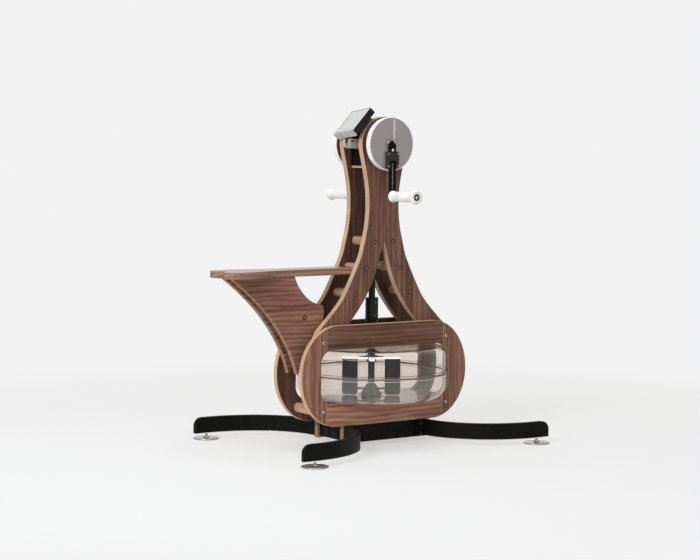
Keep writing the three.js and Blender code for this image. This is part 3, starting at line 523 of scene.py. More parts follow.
def clear_plastic(name, clarity, tint=(0.90, 0.845, 0.80)):
    """Blown polycarbonate: a smoky brown tint, slightly wavy, with soft handling marks. Less clarity
    leaves a milky veil."""
    r = Recipe(name, {"Transmission Weight": clarity, "IOR": 1.32, "Base Color": (*tint, 1)})
    marks = r.noise(r.place, 60, 4, 0.7)
    r.roughness(r.span(r.math("SUBTRACT", marks, 0.5, clamp=True), 0.015, 0.10))
    waves = r.noise(r.stretched((1, 1, 2.2)), 11, 1, 0.4)
    r.bump(waves, 1.6, 0.35)
    return r.material


WALNUT = ((0.075, 0.031, 0.020), (0.180, 0.084, 0.053), (0.295, 0.152, 0.099))


def toned(share):
    return [tuple(c * share for c in tone) for tone in WALNUT]


walnut_halves = wood("walnut_halves", Z, *WALNUT, halves=True)
walnut_level = wood("walnut_level", X, *WALNUT)
walnut_seat = wood("walnut_seat", X, *toned(1.3), gloss=0.32, coat=0.6)
# Lighter copies of the same walnut that paint light: the end boards take half again its brightness and the
# bottom boards twice it, for the extra light that falls on them.
walnut_painted_light_ends = wood("walnut_painted_light_ends", Z, *toned(1.5))
walnut_painted_light_low = wood("walnut_painted_light_low", X, *toned(2.0))
# A darker copy of the walnut, painted shade for the faces turned inwards between the two sides.
walnut_painted_shade = wood("walnut_painted_shade", Z, *toned(0.6))
# The seat brackets take a lighter copy as well, painted light.
walnut_painted_light_bracket = wood("walnut_painted_light_bracket", X, *toned(1.4))
walnut_rim = wood("walnut_rim", X, (0.15, 0.075, 0.048), (0.30, 0.165, 0.105), (0.42, 0.26, 0.17), 0.5)
ply = plywood_edge("plywood_edge", Y, (0.66, 0.46, 0.30), (0.40, 0.25, 0.155))
turned_wood = wood("turned_wood", Y, (0.30, 0.165, 0.10), (0.46, 0.28, 0.18), (0.60, 0.40, 0.27), 0.5)
deck_wood = wood("deck_wood", X, *WALNUT, gloss=0.5)
black_coat = coated("black_powder_coat", (0.0045, 0.0045, 0.004), 0.46, 620, 0.06, shine=0.08)
black_gloss = coated("black_enamel", (0.007, 0.007, 0.006), 0.24, 400, 0.02, shine=0.4)
black_cast = coated("black_cast_metal", (0.022, 0.021, 0.020), 0.42, 260, 0.28, metallic=0.5)
dark_socket = coated("dark_socket", (0.006, 0.006, 0.006), 0.6)
polished = bare_metal("polished_steel", (0.86, 0.85, 0.83), 0.10)
brushed = bare_metal("brushed_steel", (0.70, 0.69, 0.67), 0.26, brush=Z)
disc_centre = tuple(at(0, 0, CRANK_HEIGHT))
disc_face = bare_metal("turned_aluminium", (0.60, 0.56, 0.55), 0.46, centre=disc_centre)
disc_rim = coated("white_rim", (0.93, 0.925, 0.915), 0.24, 300, 0.01, coat=0.4)
pale_slot = coated("pale_slot", (0.50, 0.48, 0.47), 0.35, 500, 0.02)
disc_back = coated("dark_disc_back", (0.10, 0.058, 0.042), 0.5, 500, 0.05, shine=0.3)
white_metal = coated("bright_nickel", (0.88, 0.88, 0.86), 0.2, 500, 0.01, metallic=0.3)
bronze_head = bare_metal("bronze_steel", (0.40, 0.34, 0.29), 0.30)
clear = clear_plastic("clear_polycarbonate", 1.0)
hazy = clear_plastic("hazy_polycarbonate", 0.93)
seal_rubber = coated("seal_rubber", (0.20, 0.15, 0.125), 0.6, 300, 0.1, shine=0.3)
# Near-black paint for the thin ring that paints the shadow under the tank's upper flange.
seam_shadow_paint = coated("painted_flange_shadow", (0.02, 0.015, 0.012), 0.6, 300, 0.1, shine=0.2)
flange_tint = clear_plastic("tinted_flange", 0.9, (0.74, 0.63, 0.57))
hub_grey = coated("hub_grey", (0.13, 0.11, 0.10), 0.4, 500, 0.05)
foot_metal = bare_metal("foot_steel", (0.50, 0.46, 0.44), 0.26)
blade_plastic = coated("blade_plastic", (0.030, 0.025, 0.023), 0.42, 500, 0.05, shine=0.3)
# The paddle arms' white glows a little: a painted highlight that keeps them bright through the tinted tank.
arm_painted_glow = coated("painted_glow_arm", (0.95, 0.95, 0.94), 0.3, 500, 0.02, glow=0.9)
grip_white = coated("grip_white", (0.90, 0.895, 0.865), 0.46, 1400, 0.12, spread=0.05)
console_black = coated("console_black", (0.012, 0.0115, 0.012), 0.42, 1100, 0.06, shine=0.2)
console_grey = coated("console_grey", (0.47, 0.42, 0.42), 0.42, 1000, 0.05)


def screen_glass(name):
    """An unlit reflective display: pale liquid crystal behind a glossy pane, with a fine pixel grid."""
    r = Recipe(name, {"Coat Weight": 1.0, "Coat Roughness": 0.04, "Specular IOR Level": 0.3})
    cells = r.node("ShaderNodeTexBrick", {"Vector": r.place, "Scale": 420, "Mortar Size": 0.03,
                                          "Color1": (0.66, 0.66, 0.65, 1),
                                          "Color2": (0.63, 0.63, 0.625, 1),
                                          "Mortar": (0.54, 0.54, 0.54, 1)}, offset=0.0)
    cloud = r.noise(r.place, 14, 2)
    r.colour(r.blend(r.math("MULTIPLY", cloud, 0.35), cells.outputs["Color"], (0.78, 0.78, 0.77, 1)))
    r.roughness(r.span(cloud, 0.22, 0.34))
    return r.material


screen_face = screen_glass("display_pane")


def knurled(name, dark, light):
    """Rough black casting with a coarse worn stipple that shows bare metal."""
    r = Recipe(name, {"Specular IOR Level": 0.3, "Metallic": 0.3})
    pits = r.noise(r.place, 520, 2, 0.7)
    worn = r.math("MULTIPLY", r.math("SUBTRACT", pits, 0.56), 9, clamp=True)
    r.colour(r.blend(worn, (*dark, 1), (*light, 1)))
    r.roughness(r.span(pits, 0.40, 0.62))
    r.bump(pits, 0.5, 0.9)
    return r.material


stippled = knurled("stippled_casting", (0.022, 0.021, 0.017), (0.16, 0.155, 0.135))


# ---- bolts

def hexagon(across):
    """A hexagon's radius at each angle, from its width across the flats."""
    sector = math.pi / 3
    return lambda angle: across / 2 / math.cos((angle % sector) - sector / 2)


def bolt_mesh(axis, x, other, level, side=1, washer=7.0, head=4.0, height=2.4):
    """A button head bolt on a washer, with a hexagonal socket. Material 0 is the washer, 1 the head
    and 2 the socket."""
    socket = hexagon(head * 0.95)
    floor = 0.25
    profile = [
        (0, floor), (washer, floor), (washer, floor + 0.6), (washer - 0.3, floor + 0.9), (head + 0.1, 1.15),
        (head, 1.15), (head, 1.3), (head * 0.93, height * 0.75), (head * 0.75, height * 0.96),
        (head * 0.6, height), (socket, height), (socket, height - 1.3), (0, height - 1.3),
    ]
    zones = [0, 0, 0, 0, 0, 1, 1, 1, 1, 1, 2, 2]
    raised = [(radius, level + reach) for radius, reach in profile]
    return turned_mesh(raised, axis, x, other, side, 36, zones)


def bolt_piece(name, bolts, body, head, washer=black_gloss):
    return finish_piece(name, merged(*bolts), [washer, head, dark_socket], body)


def bolt_row(name, places, level, side, body, head_material, slot="black_metal", **sizes):
    """Bolts along Y on one side's face, as one piece."""
    bolts = [bolt_mesh(Y, x, z, level, side, **sizes) for x, z in places]
    return bolt_piece(name, bolts, body, head_material)


# ---- column

def column_outline():
    join = math.degrees(HEAD_JOIN)
    head = arc(0, CRANK_HEIGHT, HEAD_RADIUS, 90, -join, 40)
    slope = (-HEAD_PULL * math.sin(HEAD_JOIN), -HEAD_PULL * math.cos(HEAD_JOIN))
    start = head[-1]
    neck = bezier(start, (start[0] + slope[0], start[1] + slope[1]), (NECK[0], NECK[1] + NECK_PULL),
                  NECK, 24)
    foot = span("right_column_panel", Z)[0]
    half = [*head, *neck[1:], *through(LEG_EDGE, 8)[1:], (FOOT_OUTER, FOOT_SHOULDER), (FOOT_OUTER, foot),
            (WISHBONE[3][0], foot), *reversed(bezier(*WISHBONE, 32))]
    return half + mirrored(half)[:-1]


def paint_shade_inside(board, side):
    """Paints shade on the faces turned to the machine's middle: they take a darker walnut that stands in for
    the shade falling between the two sides.
    """
    for part in board.data.polygons:
        if part.normal.y * side < -0.9:
            part.material_index = 2


def column_panel(side, name):
    node = f"{name}_column_panel"
    panel = finish_piece(f"{name}_panel", plate_mesh(column_outline(), Y, *span(node, Y), edge=1.0),
                         [walnut_halves, ply, walnut_painted_shade], "frame", [node])
    paint_shade_inside(panel, side)
    drilled(panel, rod_mesh(AXLE_BORE, *between(side, 30, COLUMN_FACE + 2), Y, 0, CRANK_HEIGHT))
    places = [(end * x, z) for end, _ in ENDS for x, z in COLUMN_BOLTS]
    bolt_row(f"{name}_column_bolts", places, COLUMN_FACE, side, "frame", bronze_head)


def dowel(node):
    """A turned wooden spacer with rounded ends."""
    x, y, z = spans(node)
    bm = rod_mesh((z[1] - z[0]) / 2, *y, Y, sum(x) / 2, sum(z) / 2, edge=1.4, segments=48)
    finish_piece(f"{node}_turned", bm, [turned_wood], "frame", [node])


for side, name in SIDES:
    column_panel(side, name)
for _, end_name in ENDS:
    for level in ("upper", "middle", "lower", "top", "bottom"):
        corner = "corner_" if level in ("top", "bottom") else ""
        dowel(f"{level}_{end_name}_{corner}dowel")
dowel("seat_spacer")


# ---- tank frame

def frame_outlines():
    """Outlines of the top, bottom and front boards; the rear one mirrors the front."""
    low, high = span("right_tank_frame_bottom_board", Z)[0], span("right_tank_frame_top_board", Z)[1]
    middle, rise = (low + high) / 2, (high - low) / 2
    seam, end = BOARD_SEAM - JOINT / 2, BOARD_SEAM + JOINT / 2
    corner_x = WINDOW_HALF - WINDOW_CORNER
    upper = WINDOW_HIGH - WINDOW_CORNER
    lower = WINDOW_LOW + WINDOW_CORNER
    bow = arc(FRAME_STRAIGHT, middle, FRAME_END, -90, 90, 72, ry=rise)
    top_bow = [p for p in bow if p[0] < seam and p[1] > middle]
    low_bow = [p for p in bow if p[0] < seam and p[1] < middle]
    round_top = arc(corner_x, upper, WINDOW_CORNER, 0, 90, 24)
    round_low = arc(corner_x, lower, WINDOW_CORNER, -90, 0, 24)

    def bow_height(x):
        return rise * math.sqrt(1 - ((x - FRAME_STRAIGHT) / FRAME_END) ** 2)

    def round_height(x):
        return math.sqrt(WINDOW_CORNER**2 - (x - corner_x) ** 2)

    top_inner = [p for p in round_top[::-1] if p[0] < seam]
    top_half = [*top_inner, (seam, upper + round_height(seam)), (seam, middle + bow_height(seam)), *top_bow]
    low_inner = [p for p in round_low if p[0] < seam]
    low_half = [*low_inner, (seam, lower - round_height(seam)), (seam, middle - bow_height(seam)),
                *low_bow[::-1]]
    front = [(end, middle - bow_height(end)), *[p for p in bow if p[0] > end],
             (end, middle + bow_height(end)), (end, upper + round_height(end)),
             *[p for p in round_top[::-1] if p[0] > end], *[p for p in round_low[::-1] if p[0] > end],
             (end, lower - round_height(end))]
    return {"top": top_half + mirrored(top_half), "bottom": low_half + mirrored(low_half),
            "front": front, "rear": mirrored(front)}


def tank_frame(side, name, outlines):
    for board, outline in outlines.items():
        node = f"{name}_tank_frame_{board}_board"
        # The end and bottom boards wear the lighter walnut copies that paint light; the top board keeps the
        # plain walnut.
        grain = {"top": walnut_level, "bottom": walnut_painted_light_low}.get(board, walnut_painted_light_ends)
        piece = finish_piece(f"{name}_{board}_board", plate_mesh(outline, Y, *span(node, Y), edge=1.3),
                             [grain, ply, walnut_painted_shade], "frame", [node])
        paint_shade_inside(piece, side)
    corners = [(end * x, z) for end, _ in ENDS for x, z in CORNER_BOLTS]
    bolt_row(f"{name}_corner_bolts", corners, FRAME_FACE, side, "frame", polished, "polished_steel",
             washer=6.6, head=5.2, height=2.8)
    bolt_row(f"{name}_deck_bolts", [(-56, 329), (56, 329)], FRAME_FACE, side, "frame", bronze_head,
             washer=5.4, head=3.2, height=2.0)


for side, name in SIDES:
    tank_frame(side, name, frame_outlines())


# ---- tank

def corner_ellipse(size, flat, inset, steps=20):
    """From the tank's side round to its flat top or floor, set in by the wall."""
    inward, upward = size
    way = 1 if flat > TANK_SEAM else -1
    points = []
    for i in range(steps + 1):
        angle = math.pi / 2 * i / steps
        points.append((TANK_RADIUS - inward + (inward - inset) * math.cos(angle),
                       flat - way * (upward - (upward - inset) * math.sin(angle))))
    return points


def tank_shells():
    """The sections of the upper and the lower shell."""
    inner, proud = TANK_RADIUS - TANK_WALL, TANK_RADIUS + 2
    neck, neck_top = 40, span("tank_upper_shell", Z)[1]
    bore, ceiling = neck - TANK_WALL, TANK_TOP - TANK_WALL
    boss, boss_top, floor = 16, TANK_FLOOR + TANK_WALL + 6, TANK_FLOOR + TANK_WALL

    def flange(way):
        rim, face = TANK_SEAM + way * 2, TANK_SEAM + way * TANK_FLANGE
        return rounded([(inner, rim), (proud, rim), (proud, face), (TANK_RADIUS, face)], 0.9)

    neck_turn = rounded([(neck + 12, TANK_TOP), (neck, TANK_TOP), (neck, neck_top), (bore, neck_top),
                         (bore, ceiling), (neck + 12, ceiling)], 1.5)
    boss_turn = rounded([(0, boss_top), (boss, boss_top), (boss, floor), (60, floor)], 1.5)
    upper = [*flange(1), *corner_ellipse(SHOULDER, TANK_TOP, 0), *neck_turn,
             *reversed(corner_ellipse(SHOULDER, TANK_TOP, TANK_WALL)), (inner, TANK_SEAM + 2)]
    lower = [*boss_turn, *reversed(corner_ellipse(HEEL, TANK_FLOOR, TANK_WALL)), *flange(-1),
             *corner_ellipse(HEEL, TANK_FLOOR, 0), (0, TANK_FLOOR)]
    return upper, lower


def tank_shell(piece, profile, plastic, node):
    shell = finish_piece(piece, turned_mesh(profile, Z, 0, 0, segments=160), [plastic, flange_tint],
                         "frame", [node], smooth=60)
    for part in shell.data.polygons:
        x, y, z = part.center - at(0, 0, TANK_SEAM)
        if abs(z) < (TANK_FLANGE + 0.5) * MM and math.hypot(x, y) > (TANK_RADIUS - TANK_WALL - 1) * MM:
            part.material_index = 1


def tank_band(piece, inner, proud, low, high, edge, material, replaces=()):
    section = [(inner, low), (proud, low), (proud, high), (inner, high)]
    finish_piece(piece, ring_mesh(section, edge, Z, 0, 0, segments=160), [material], "frame",
                 replaces)


def tank():
    upper, lower = tank_shells()
    tank_shell("clear_tank_top", upper, clear, "tank_upper_shell")
    tank_shell("clear_tank_base", lower, hazy, "tank_lower_shell")
    # Two thin rings round the seam: the dark one is a painted shadow under the upper flange, the white one a
    # painted highlight along the lower flange's edge.
    for piece, low, material in (("tank_painted_shadow_ring", TANK_SEAM + TANK_FLANGE - 0.4, seam_shadow_paint),
                                 ("tank_painted_highlight_ring", TANK_SEAM - TANK_FLANGE - 0.6, disc_rim)):
        tank_band(piece, TANK_RADIUS + 0.2, TANK_RADIUS + 2.2, low, low + 1, 0.3, material)
    tank_band("tank_seal_ring", TANK_RADIUS - TANK_WALL, TANK_RADIUS + 1, *span("tank_seal", Z), 0.8,
              seal_rubber, ["tank_seal"])


tank()


# ---- deck, shaft and paddle

def bored_board(piece, node, bore, edge):
    """A level board with the shaft's hole in it."""
    x, y, z = spans(node)
    board = finish_piece(piece, box_mesh(*x, *y, *z, edge=edge), [deck_wood, ply], "frame", [node])
    drilled(board, rod_mesh(bore, z[0] - 2, z[1] + 2, Z, 0, 0))


def shaft():
    base = span("bearing_housing", Z)[0]
    bearing = [(SHAFT_FIT, base), (38, base), (38, base + 8), (21, base + 8), (21, 394), (SHAFT_FIT, 394)]
    finish_piece("shaft_bearing", ring_mesh(bearing, 1.6, Z, 0, 0), [black_cast], "frame",
                 ["bearing_housing"])
    turns = [math.radians(45 + 90 * i) for i in range(4)]
    bolts = [bolt_mesh(Z, 30 * math.cos(a), 30 * math.sin(a), base + 8, washer=4.6, head=3.6, height=2.2)
             for a in turns]
    bolt_piece("bearing_bolts", bolts, "frame", bronze_head)

    sleeve = [(SHAFT_FIT, 396), (21, 396), (21, 430), (20.2, 431), (20.2, 433), (21, 434), (21, 471),
              (SHAFT_FIT, 471)]
    finish_piece("shaft_sleeve", ring_mesh(sleeve, 1.2, Z, 0, 0), [black_gloss], "rotor",
                 ["shaft_coupling"])
    low, high = span("drive_shaft", Z)
    rod = rounded([(0, low), (SHAFT_RADIUS, low), (SHAFT_RADIUS, 905), (7, 905), (7, high), (0, high)], 0.8)
    finish_piece("drive_rod", turned_mesh(rod, Z, 0, 0), [black_gloss], "rotor",
                 ["drive_shaft"])
    screws = [bolt_mesh(Y, 0, z, 20.4, side, washer=3.4, head=3.0, height=1.6)
              for side, _ in SIDES for z in (412, 456)]
    bolt_piece("sleeve_screws", screws, "rotor", bronze_head)


def paddle():
    low = span("paddle", Z)[0]
    hub = [(SHAFT_RADIUS, 283), (42, 283), (42, 286), (20, 290), (14, 298), (SHAFT_RADIUS, 298)]
    collar = [(SHAFT_RADIUS, 262), (16, 262), (16, 270.6), (SHAFT_RADIUS, 270.6)]
    parts = [rod_mesh(SHAFT_RADIUS, low, 431.7, Z, 0, 0, edge=0.8), ring_mesh(hub, 0.8, Z, 0, 0),
             ring_mesh(collar, 1, Z, 0, 0)]
    finish_piece("paddle_rod", merged(*parts), [black_gloss], "rotor", ["paddle"])

    blade = rounded([(BLADE_IN, BLADE_TOP), (BLADE_IN, BLADE_LOW), (BLADE_OUT, BLADE_LOW),
                     (BLADE_OUT, BLADE_TOP)], 12, 8, closed=True)
    turns = [Matrix.Rotation(PADDLE_TURN + quarter * math.pi / 2, 4, "Z") for quarter in range(4)]
    blades = [turned_to(plate_mesh(blade, Y, -2, 2, edge=1.2), turn) for turn in turns]
    finish_piece("paddle_blades", merged(*blades), [blade_plastic], "rotor")
    # The arms wear the glowing white, a painted highlight.
    arms = [turned_to(box_mesh(11, BLADE_OUT, -9, 9, 273, 281, edge=1.5, segments=3), turn)
            for turn in turns]
    finish_piece("paddle_arms", merged(*arms), [arm_painted_glow], "rotor")

    wing = rounded([(-66, -30), (0, -7), (66, -30), (66, 30), (0, 7), (-66, 30)], 4, closed=True)
    stirrer = turned_to(plate_mesh(wing, Z, 172, 175, edge=0.8), turns[0])
    finish_piece("paddle_lower_vane", stirrer, [blade_plastic], "rotor")
    cone = [(SHAFT_RADIUS, 152), (34, 152), (34, 156), (15, 188), (SHAFT_RADIUS, 190)]
    finish_piece("paddle_cone", ring_mesh(cone, 2, Z, 0, 0), [hub_grey], "rotor")


bored_board("deck_board", "shaft_deck", 24, 1.2)
shaft()
paddle()


# ---- gearbox

def gearbox():
    """A case with a domed top and thin walls, its shelf, and the axle through it."""
    (_, x1), (y0, y1), (z0, _) = spans("gearbox_housing")
    wall = 4
    low_edge = rounded([(-x1, CRANK_HEIGHT), (-x1, z0), (x1, z0), (x1, CRANK_HEIGHT)], 3)
    outline = [*low_edge[:-1], *arc(0, CRANK_HEIGHT, x1, 0, 180, 48)[:-1]]
    case = finish_piece("gearbox_case", plate_mesh(outline, Y, y0, y1, edge=2, segments=4), [black_coat],
                        "frame", ["gearbox_housing"])
    room = x1 - wall
    hollow = [(-room, z0 + wall), (room, z0 + wall), *arc(0, CRANK_HEIGHT, room, 0, 180, 48)]
    drilled(case, plate_mesh(hollow, Y, y0 + wall, y1 - wall, edge=0.5),
            rod_mesh(13, y0 - 2, y1 + 2, Y, 0, CRANK_HEIGHT), rod_mesh(12.75, z0 - 2, z0 + 6, Z, 0, 0))
    bored_board("gearbox_board", "gearbox_shelf", 13.75, 1)
    finish_piece("axle_rod", rod_mesh(12, *span("crank_axle", Y), Y, 0, CRANK_HEIGHT, edge=1), [brushed],
                 "crank", ["crank_axle"])


gearbox()


# ---- cranks

def crank_disc(side, name):
    node = f"{name}_crank_disc"
    rim, back, boss = outer(node), 82.4, min(abs(v) for v in span(node, Y))
    radius, face = DISC_RADIUS, DISC_FACE
    profile = [(12.3, boss), (22, boss), (22, back), (radius - 3, back), (radius, back + 2),
               (radius, rim - 0.8), (radius - 0.6, rim), (radius - 1.6, rim), (radius - 2.2, face),
               (0, face), (0, 100), (12.3, 100), (12.3, boss)]
    zones = [3, 3, 3, 3, 1, 1, 1, 1, 0, 0, 0, 0]
    bm = turned_mesh(profile, Y, 0, CRANK_HEIGHT, side, 160, zones)
    disc = finish_piece(f"{name}_disc", bm, [disc_face, disc_rim, pale_slot, disc_back], "crank",
                        [node])
    slot = rectangle(*DISC_SLOT[:2], *(CRANK_HEIGHT + z for z in DISC_SLOT[2:]), 1)
    floor = face - 0.8
    drilled(disc, plate_mesh(slot, Y, *between(side, floor, face + 2), edge=0.05, segments=1))
    for part in disc.data.polygons:
        x, y, z = ((part.center[i] - disc_centre[i]) / MM for i in (X, Y, Z))
        if abs(abs(y) - floor) < 0.05 and DISC_SLOT[0] < x < DISC_SLOT[1] and z > DISC_SLOT[2]:
            part.material_index = 2
    finish_piece(f"{name}_hub_washer", rod_mesh(11, 103.6, 105.1, Y, 0, CRANK_HEIGHT, side, edge=0.4),
                 [black_cast], "crank")
    pin = rounded([(0, 103.3), (2.4, 103.3), (2.4, 104.8), (1.2, 105.3), (0, 105.3)], 0.4)
    pins = [turned_mesh(pin, Y, x, CRANK_HEIGHT + 6.5, side, 24) for x in (-12.5, 12.5)]
    finish_piece(f"{name}_hub_pins", merged(*pins), [white_metal], "crank")


def guide_block(side, name):
    """The block is a back plate with two cheeks and a bridge; the arm slides through it."""
    node = f"{name}_guide_block"
    half, channel, bridge, clearance = 23, 13.1, 914, 0.3
    (back, front), (low, high) = sorted(abs(v) for v in span(node, Y)), span(node, Z)
    full = between(side, back, front)
    parts = [box_mesh(-half, -channel, *full, low, high, 0.4),
             box_mesh(channel, half, *full, low, high, 0.4),
             box_mesh(-channel, channel, *between(side, back, ARM_BACK - clearance), low, high, 0.2),
             box_mesh(-channel, channel, *between(side, ARM_FACE + clearance, front), bridge, high, 0.2)]
    finish_piece(f"{name}_guide", merged(*parts), [stippled], "crank", [node])
    screws = [(x, z) for x in (-18, 18) for z in (low + 7, high - 6)]
    bolt_row(f"{name}_guide_screws", screws, front, side, "crank", polished, washer=2.9, head=2.6,
             height=1.5)


def crank_arm(side, name):
    node, body = f"{name}_crank_arm", f"{name}_arm"
    half, face, top, eyelet = 12.75, ARM_FACE, span(node, Z)[1], 1.5
    outline = rounded([(half, GRIP_HEIGHT), (half, top - 11), (3, top), (-3, top), (-half, top - 11),
                       (-half, GRIP_HEIGHT)], 1.2, 3)
    outline += arc(0, GRIP_HEIGHT, half, 180, 360, 24)[1:-1]
    arm = finish_piece(body, plate_mesh(outline, Y, *between(side, ARM_BACK, face), edge=0.8), [black_coat],
                       body, [node])
    heights = [829 + 7.4 * i for i in range(11)]
    ends = between(side, ARM_BACK - 1, face + 1)
    drilled(arm, merged(*[rod_mesh(eyelet, *ends, Y, 0, height, segments=20) for height in heights]))
    ring = [(eyelet, face - 0.6), (2.4, face + 0.05), (eyelet, face + 0.3)]
    rings = [ring_mesh(ring, 0.1, Y, 0, height, side, 20, 2) for height in heights]
    finish_piece(f"{body}_eyelets", merged(*rings), [polished], body)
    tip = outer(f"{name}_grip") - 3.2
    finish_piece(f"{name}_spindle", rod_mesh(6, face - 1, tip, Y, 0, GRIP_HEIGHT, side, edge=0.3),
                 [brushed], body)
    cap = bolt_mesh(Y, 0, GRIP_HEIGHT, tip, side, washer=10.6, head=5.0, height=4.0)
    bolt_piece(f"{name}_grip_screw", [cap], body, white_metal)
    dome = rounded([(0, face), (4.5, face), (4.5, face + 1.4), (2.6, face + 2.4), (0, face + 2.5)], 1.2)
    finish_piece(f"{name}_stop_screw", turned_mesh(dome, Y, 0, 948, side, 32), [white_metal], body)


def grip(side, name):
    node = f"{name}_grip"
    inner, tip = sorted(abs(v) for v in span(node, Y))
    barrel, collar, flange, bore = 16, 18.5, 22, 6.5
    body = [(bore, inner), (collar - 1, inner), (collar, inner + 1.5), (collar, inner + 5),
            (barrel + 0.6, inner + 9), (barrel, inner + 14), (barrel, (inner + tip) / 2 - 8),
            (barrel + 0.5, tip - 32), (barrel + 1.2, tip - 20), (flange - 0.6, tip - 10), (flange, tip - 7),
            (flange, tip - 3.5), (flange - 3.5, tip), (12, tip), (11.5, tip - 0.6), (11.5, tip - 3),
            (bore, tip - 3), (bore, inner)]
    bm = turned_mesh(rounded(body, 2.2, 4), Y, 0, GRIP_HEIGHT, side, 72)
    finish_piece(f"{name}_handle_grip", bm, [grip_white], f"{name}_handle", [node],
                 smooth=50)


for side, name in SIDES:
    crank_disc(side, name)
    guide_block(side, name)
    crank_arm(side, name)
    grip(side, name)


# ---- console

def tilted(bm):
    """Turns a mesh drawn lying flat at the axis to where the console's face looks."""
    turn = Matrix.Rotation(-CONSOLE_TILT, 4, "Y") @ Matrix.Rotation(CONSOLE_ROLL, 4, "X")
    return turned_to(bm, turn, CONSOLE_AT)


def console():
    length, width, depth = 106, 127, 21.5
    x1, y1, z1 = length / 2, width / 2, depth / 2
    seam = -x1 + 6.5  # where the grey end cap starts
    shell = plate_mesh(rectangle(seam + 0.15, x1, -y1, y1, 6), Z, -z1, z1, edge=1.6, segments=4)
    cap = plate_mesh(rectangle(-x1, seam - 0.15, -y1, y1, 4), Z, -z1, z1, edge=1.6, segments=4)
    lug = rounded([(-102, 977), (-102, 971), (-90, 971), (-87, 1003), (-102, 999)], 4, closed=True)
    hinge = merged(plate_mesh(lug, Y, -8, 8, edge=1), rod_mesh(3, -22, 22, Y, *CONSOLE_PIVOT))
    case = finish_piece("console_case", tilted(shell), [console_black], "console",
                        ["console_housing"])
    recess = plate_mesh(rectangle(-x1 + 7.4, x1 - 2, -y1 + 2, y1 - 2, 4), Z, z1 - 2.5, z1 + 2, edge=0.3,
                        segments=1)
    head_room = rod_mesh(HEAD_RADIUS + 1.5, 39.5, 67, Y, 0, CRANK_HEIGHT, segments=120)
    drilled(case, tilted(recess), head_room)
    finish_piece("console_end_cap", tilted(cap), [console_grey], "console")
    finish_piece("console_hinge", hinge, [console_black], "console")
    pane = rectangle(-x1 + 7.7, x1 - 2.3, -y1 + 2.3, y1 - 2.3, 3.7)
    finish_piece("console_pane", tilted(plate_mesh(pane, Z, z1 - 2.2, z1 - 0.4, edge=0.3)), [screen_face],
                 "console", ["console_screen"])
    screws = [bolt_mesh(Z, x, y, z1, washer=2.9, head=2.6, height=1.4) for x in (-38, 44) for y in (-52, 20)]
    upside_down = turned_to(merged(*screws), Matrix.Rotation(math.pi, 4, "X"))
    bolt_piece("console_back_screws", [tilted(upside_down)], "console", bronze_head, console_black)


def console_cradle():
    """A rounded grey belly on the gearbox, open in the middle for the console's lug."""
    px, pz = CONSOLE_PIVOT
    back = span("console_bracket", X)[1]
    outline = [(back, 951), (back, 982), (px + 4, pz + 7), *arc(px, pz, 8, 60, 180, 10),
               *arc(px + 8, pz - 8, 16, 180, 270, 12), (back - 6, 952.5)]
    cradle = finish_piece("console_cradle", plate_mesh(outline, Y, *span("console_bracket", Y), edge=2.4,
                                                       segments=5),
                          [console_grey], "frame", ["console_bracket"])
    drilled(cradle, box_mesh(px - 20, px + 13, -8.4, 8.4, 940, 1000, edge=0.3))


console()
console_cradle()


# ---- saddle

def saddle_outline():
    centre_x = SEAT_REAR + LOBE
    turn = math.radians(125)
    hollow = (centre_x + LOBE * math.cos(turn), LOBE_Y - LOBE * math.sin(turn))
    control_x = hollow[0] + hollow[1] * math.sin(turn) / -math.cos(turn)
    neck_end = span("seat_board", X)[1]
    flank = bezier((WAIST_X, NECK_HALF), (WAIST_X - 70, NECK_HALF), (centre_x + 90, LOBE_Y + LOBE),
                   (centre_x, LOBE_Y + LOBE), 28)
    half = [(neck_end, NECK_HALF), *flank, *arc(centre_x, LOBE_Y, LOBE, 90, 235, 32)[1:]]
    notch = []
    for i in range(1, 10):
        t = i / 10
        ends = (1 - t) ** 2 + t * t
        notch.append((hollow[0] * ends + control_x * 2 * t * (1 - t), hollow[1] * ((1 - t) ** 2 - t * t)))
    return half + notch + mirrored(half, axis=1)


def saddle():
    board = finish_piece("saddle_board", plate_mesh(saddle_outline(), Z, *span("seat_board", Z), edge=3.2,
                                                    segments=5),
                         [walnut_seat, walnut_rim], "frame", ["seat_board"])
    x, z = COLUMN_BOLTS[1]
    drilled(board, rod_mesh(15.3, -60, 60, Y, -x, z))


def bracket_outline():
    top = span("right_seat_bracket", Z)[1]
    front = bezier((-549, top), (-417, 455), (-337, 350), (-309, 240), 40)
    foot = bezier((-292, 262), (-272, 287.3), (-246.7, 306), (-216, 318), 12)
    shoulder = bezier((-209, 438), (-208.3, 451.3), (-214.7, 458.7), (-228, 460), 10)
    rear = bezier((-228, 460), (-262, 466), (-302, 500), (-319, top), 28)
    return [*front, *foot, (-216, 362), *shoulder, *rear[1:]]


def bracket(side, name):
    node = f"{name}_seat_bracket"
    low, high = span(node, Y)
    # The bracket wears the lighter walnut copy, painted light.
    board = finish_piece(f"{name}_bracket", plate_mesh(bracket_outline(), Y, low, high, edge=1.2),
                         [walnut_painted_light_bracket, walnut_rim], "frame", [node])
    x, z = CORNER_BOLTS[0]
    drilled(board, rod_mesh(17.4, low - 2, high + 2, Y, -x, z))
    bolt_row(f"{name}_bracket_bolt", [(-283, 420)], BRACKET_FACE, side, "frame", bronze_head)


saddle()
for side, name in SIDES:
    bracket(side, name)


# ---- base

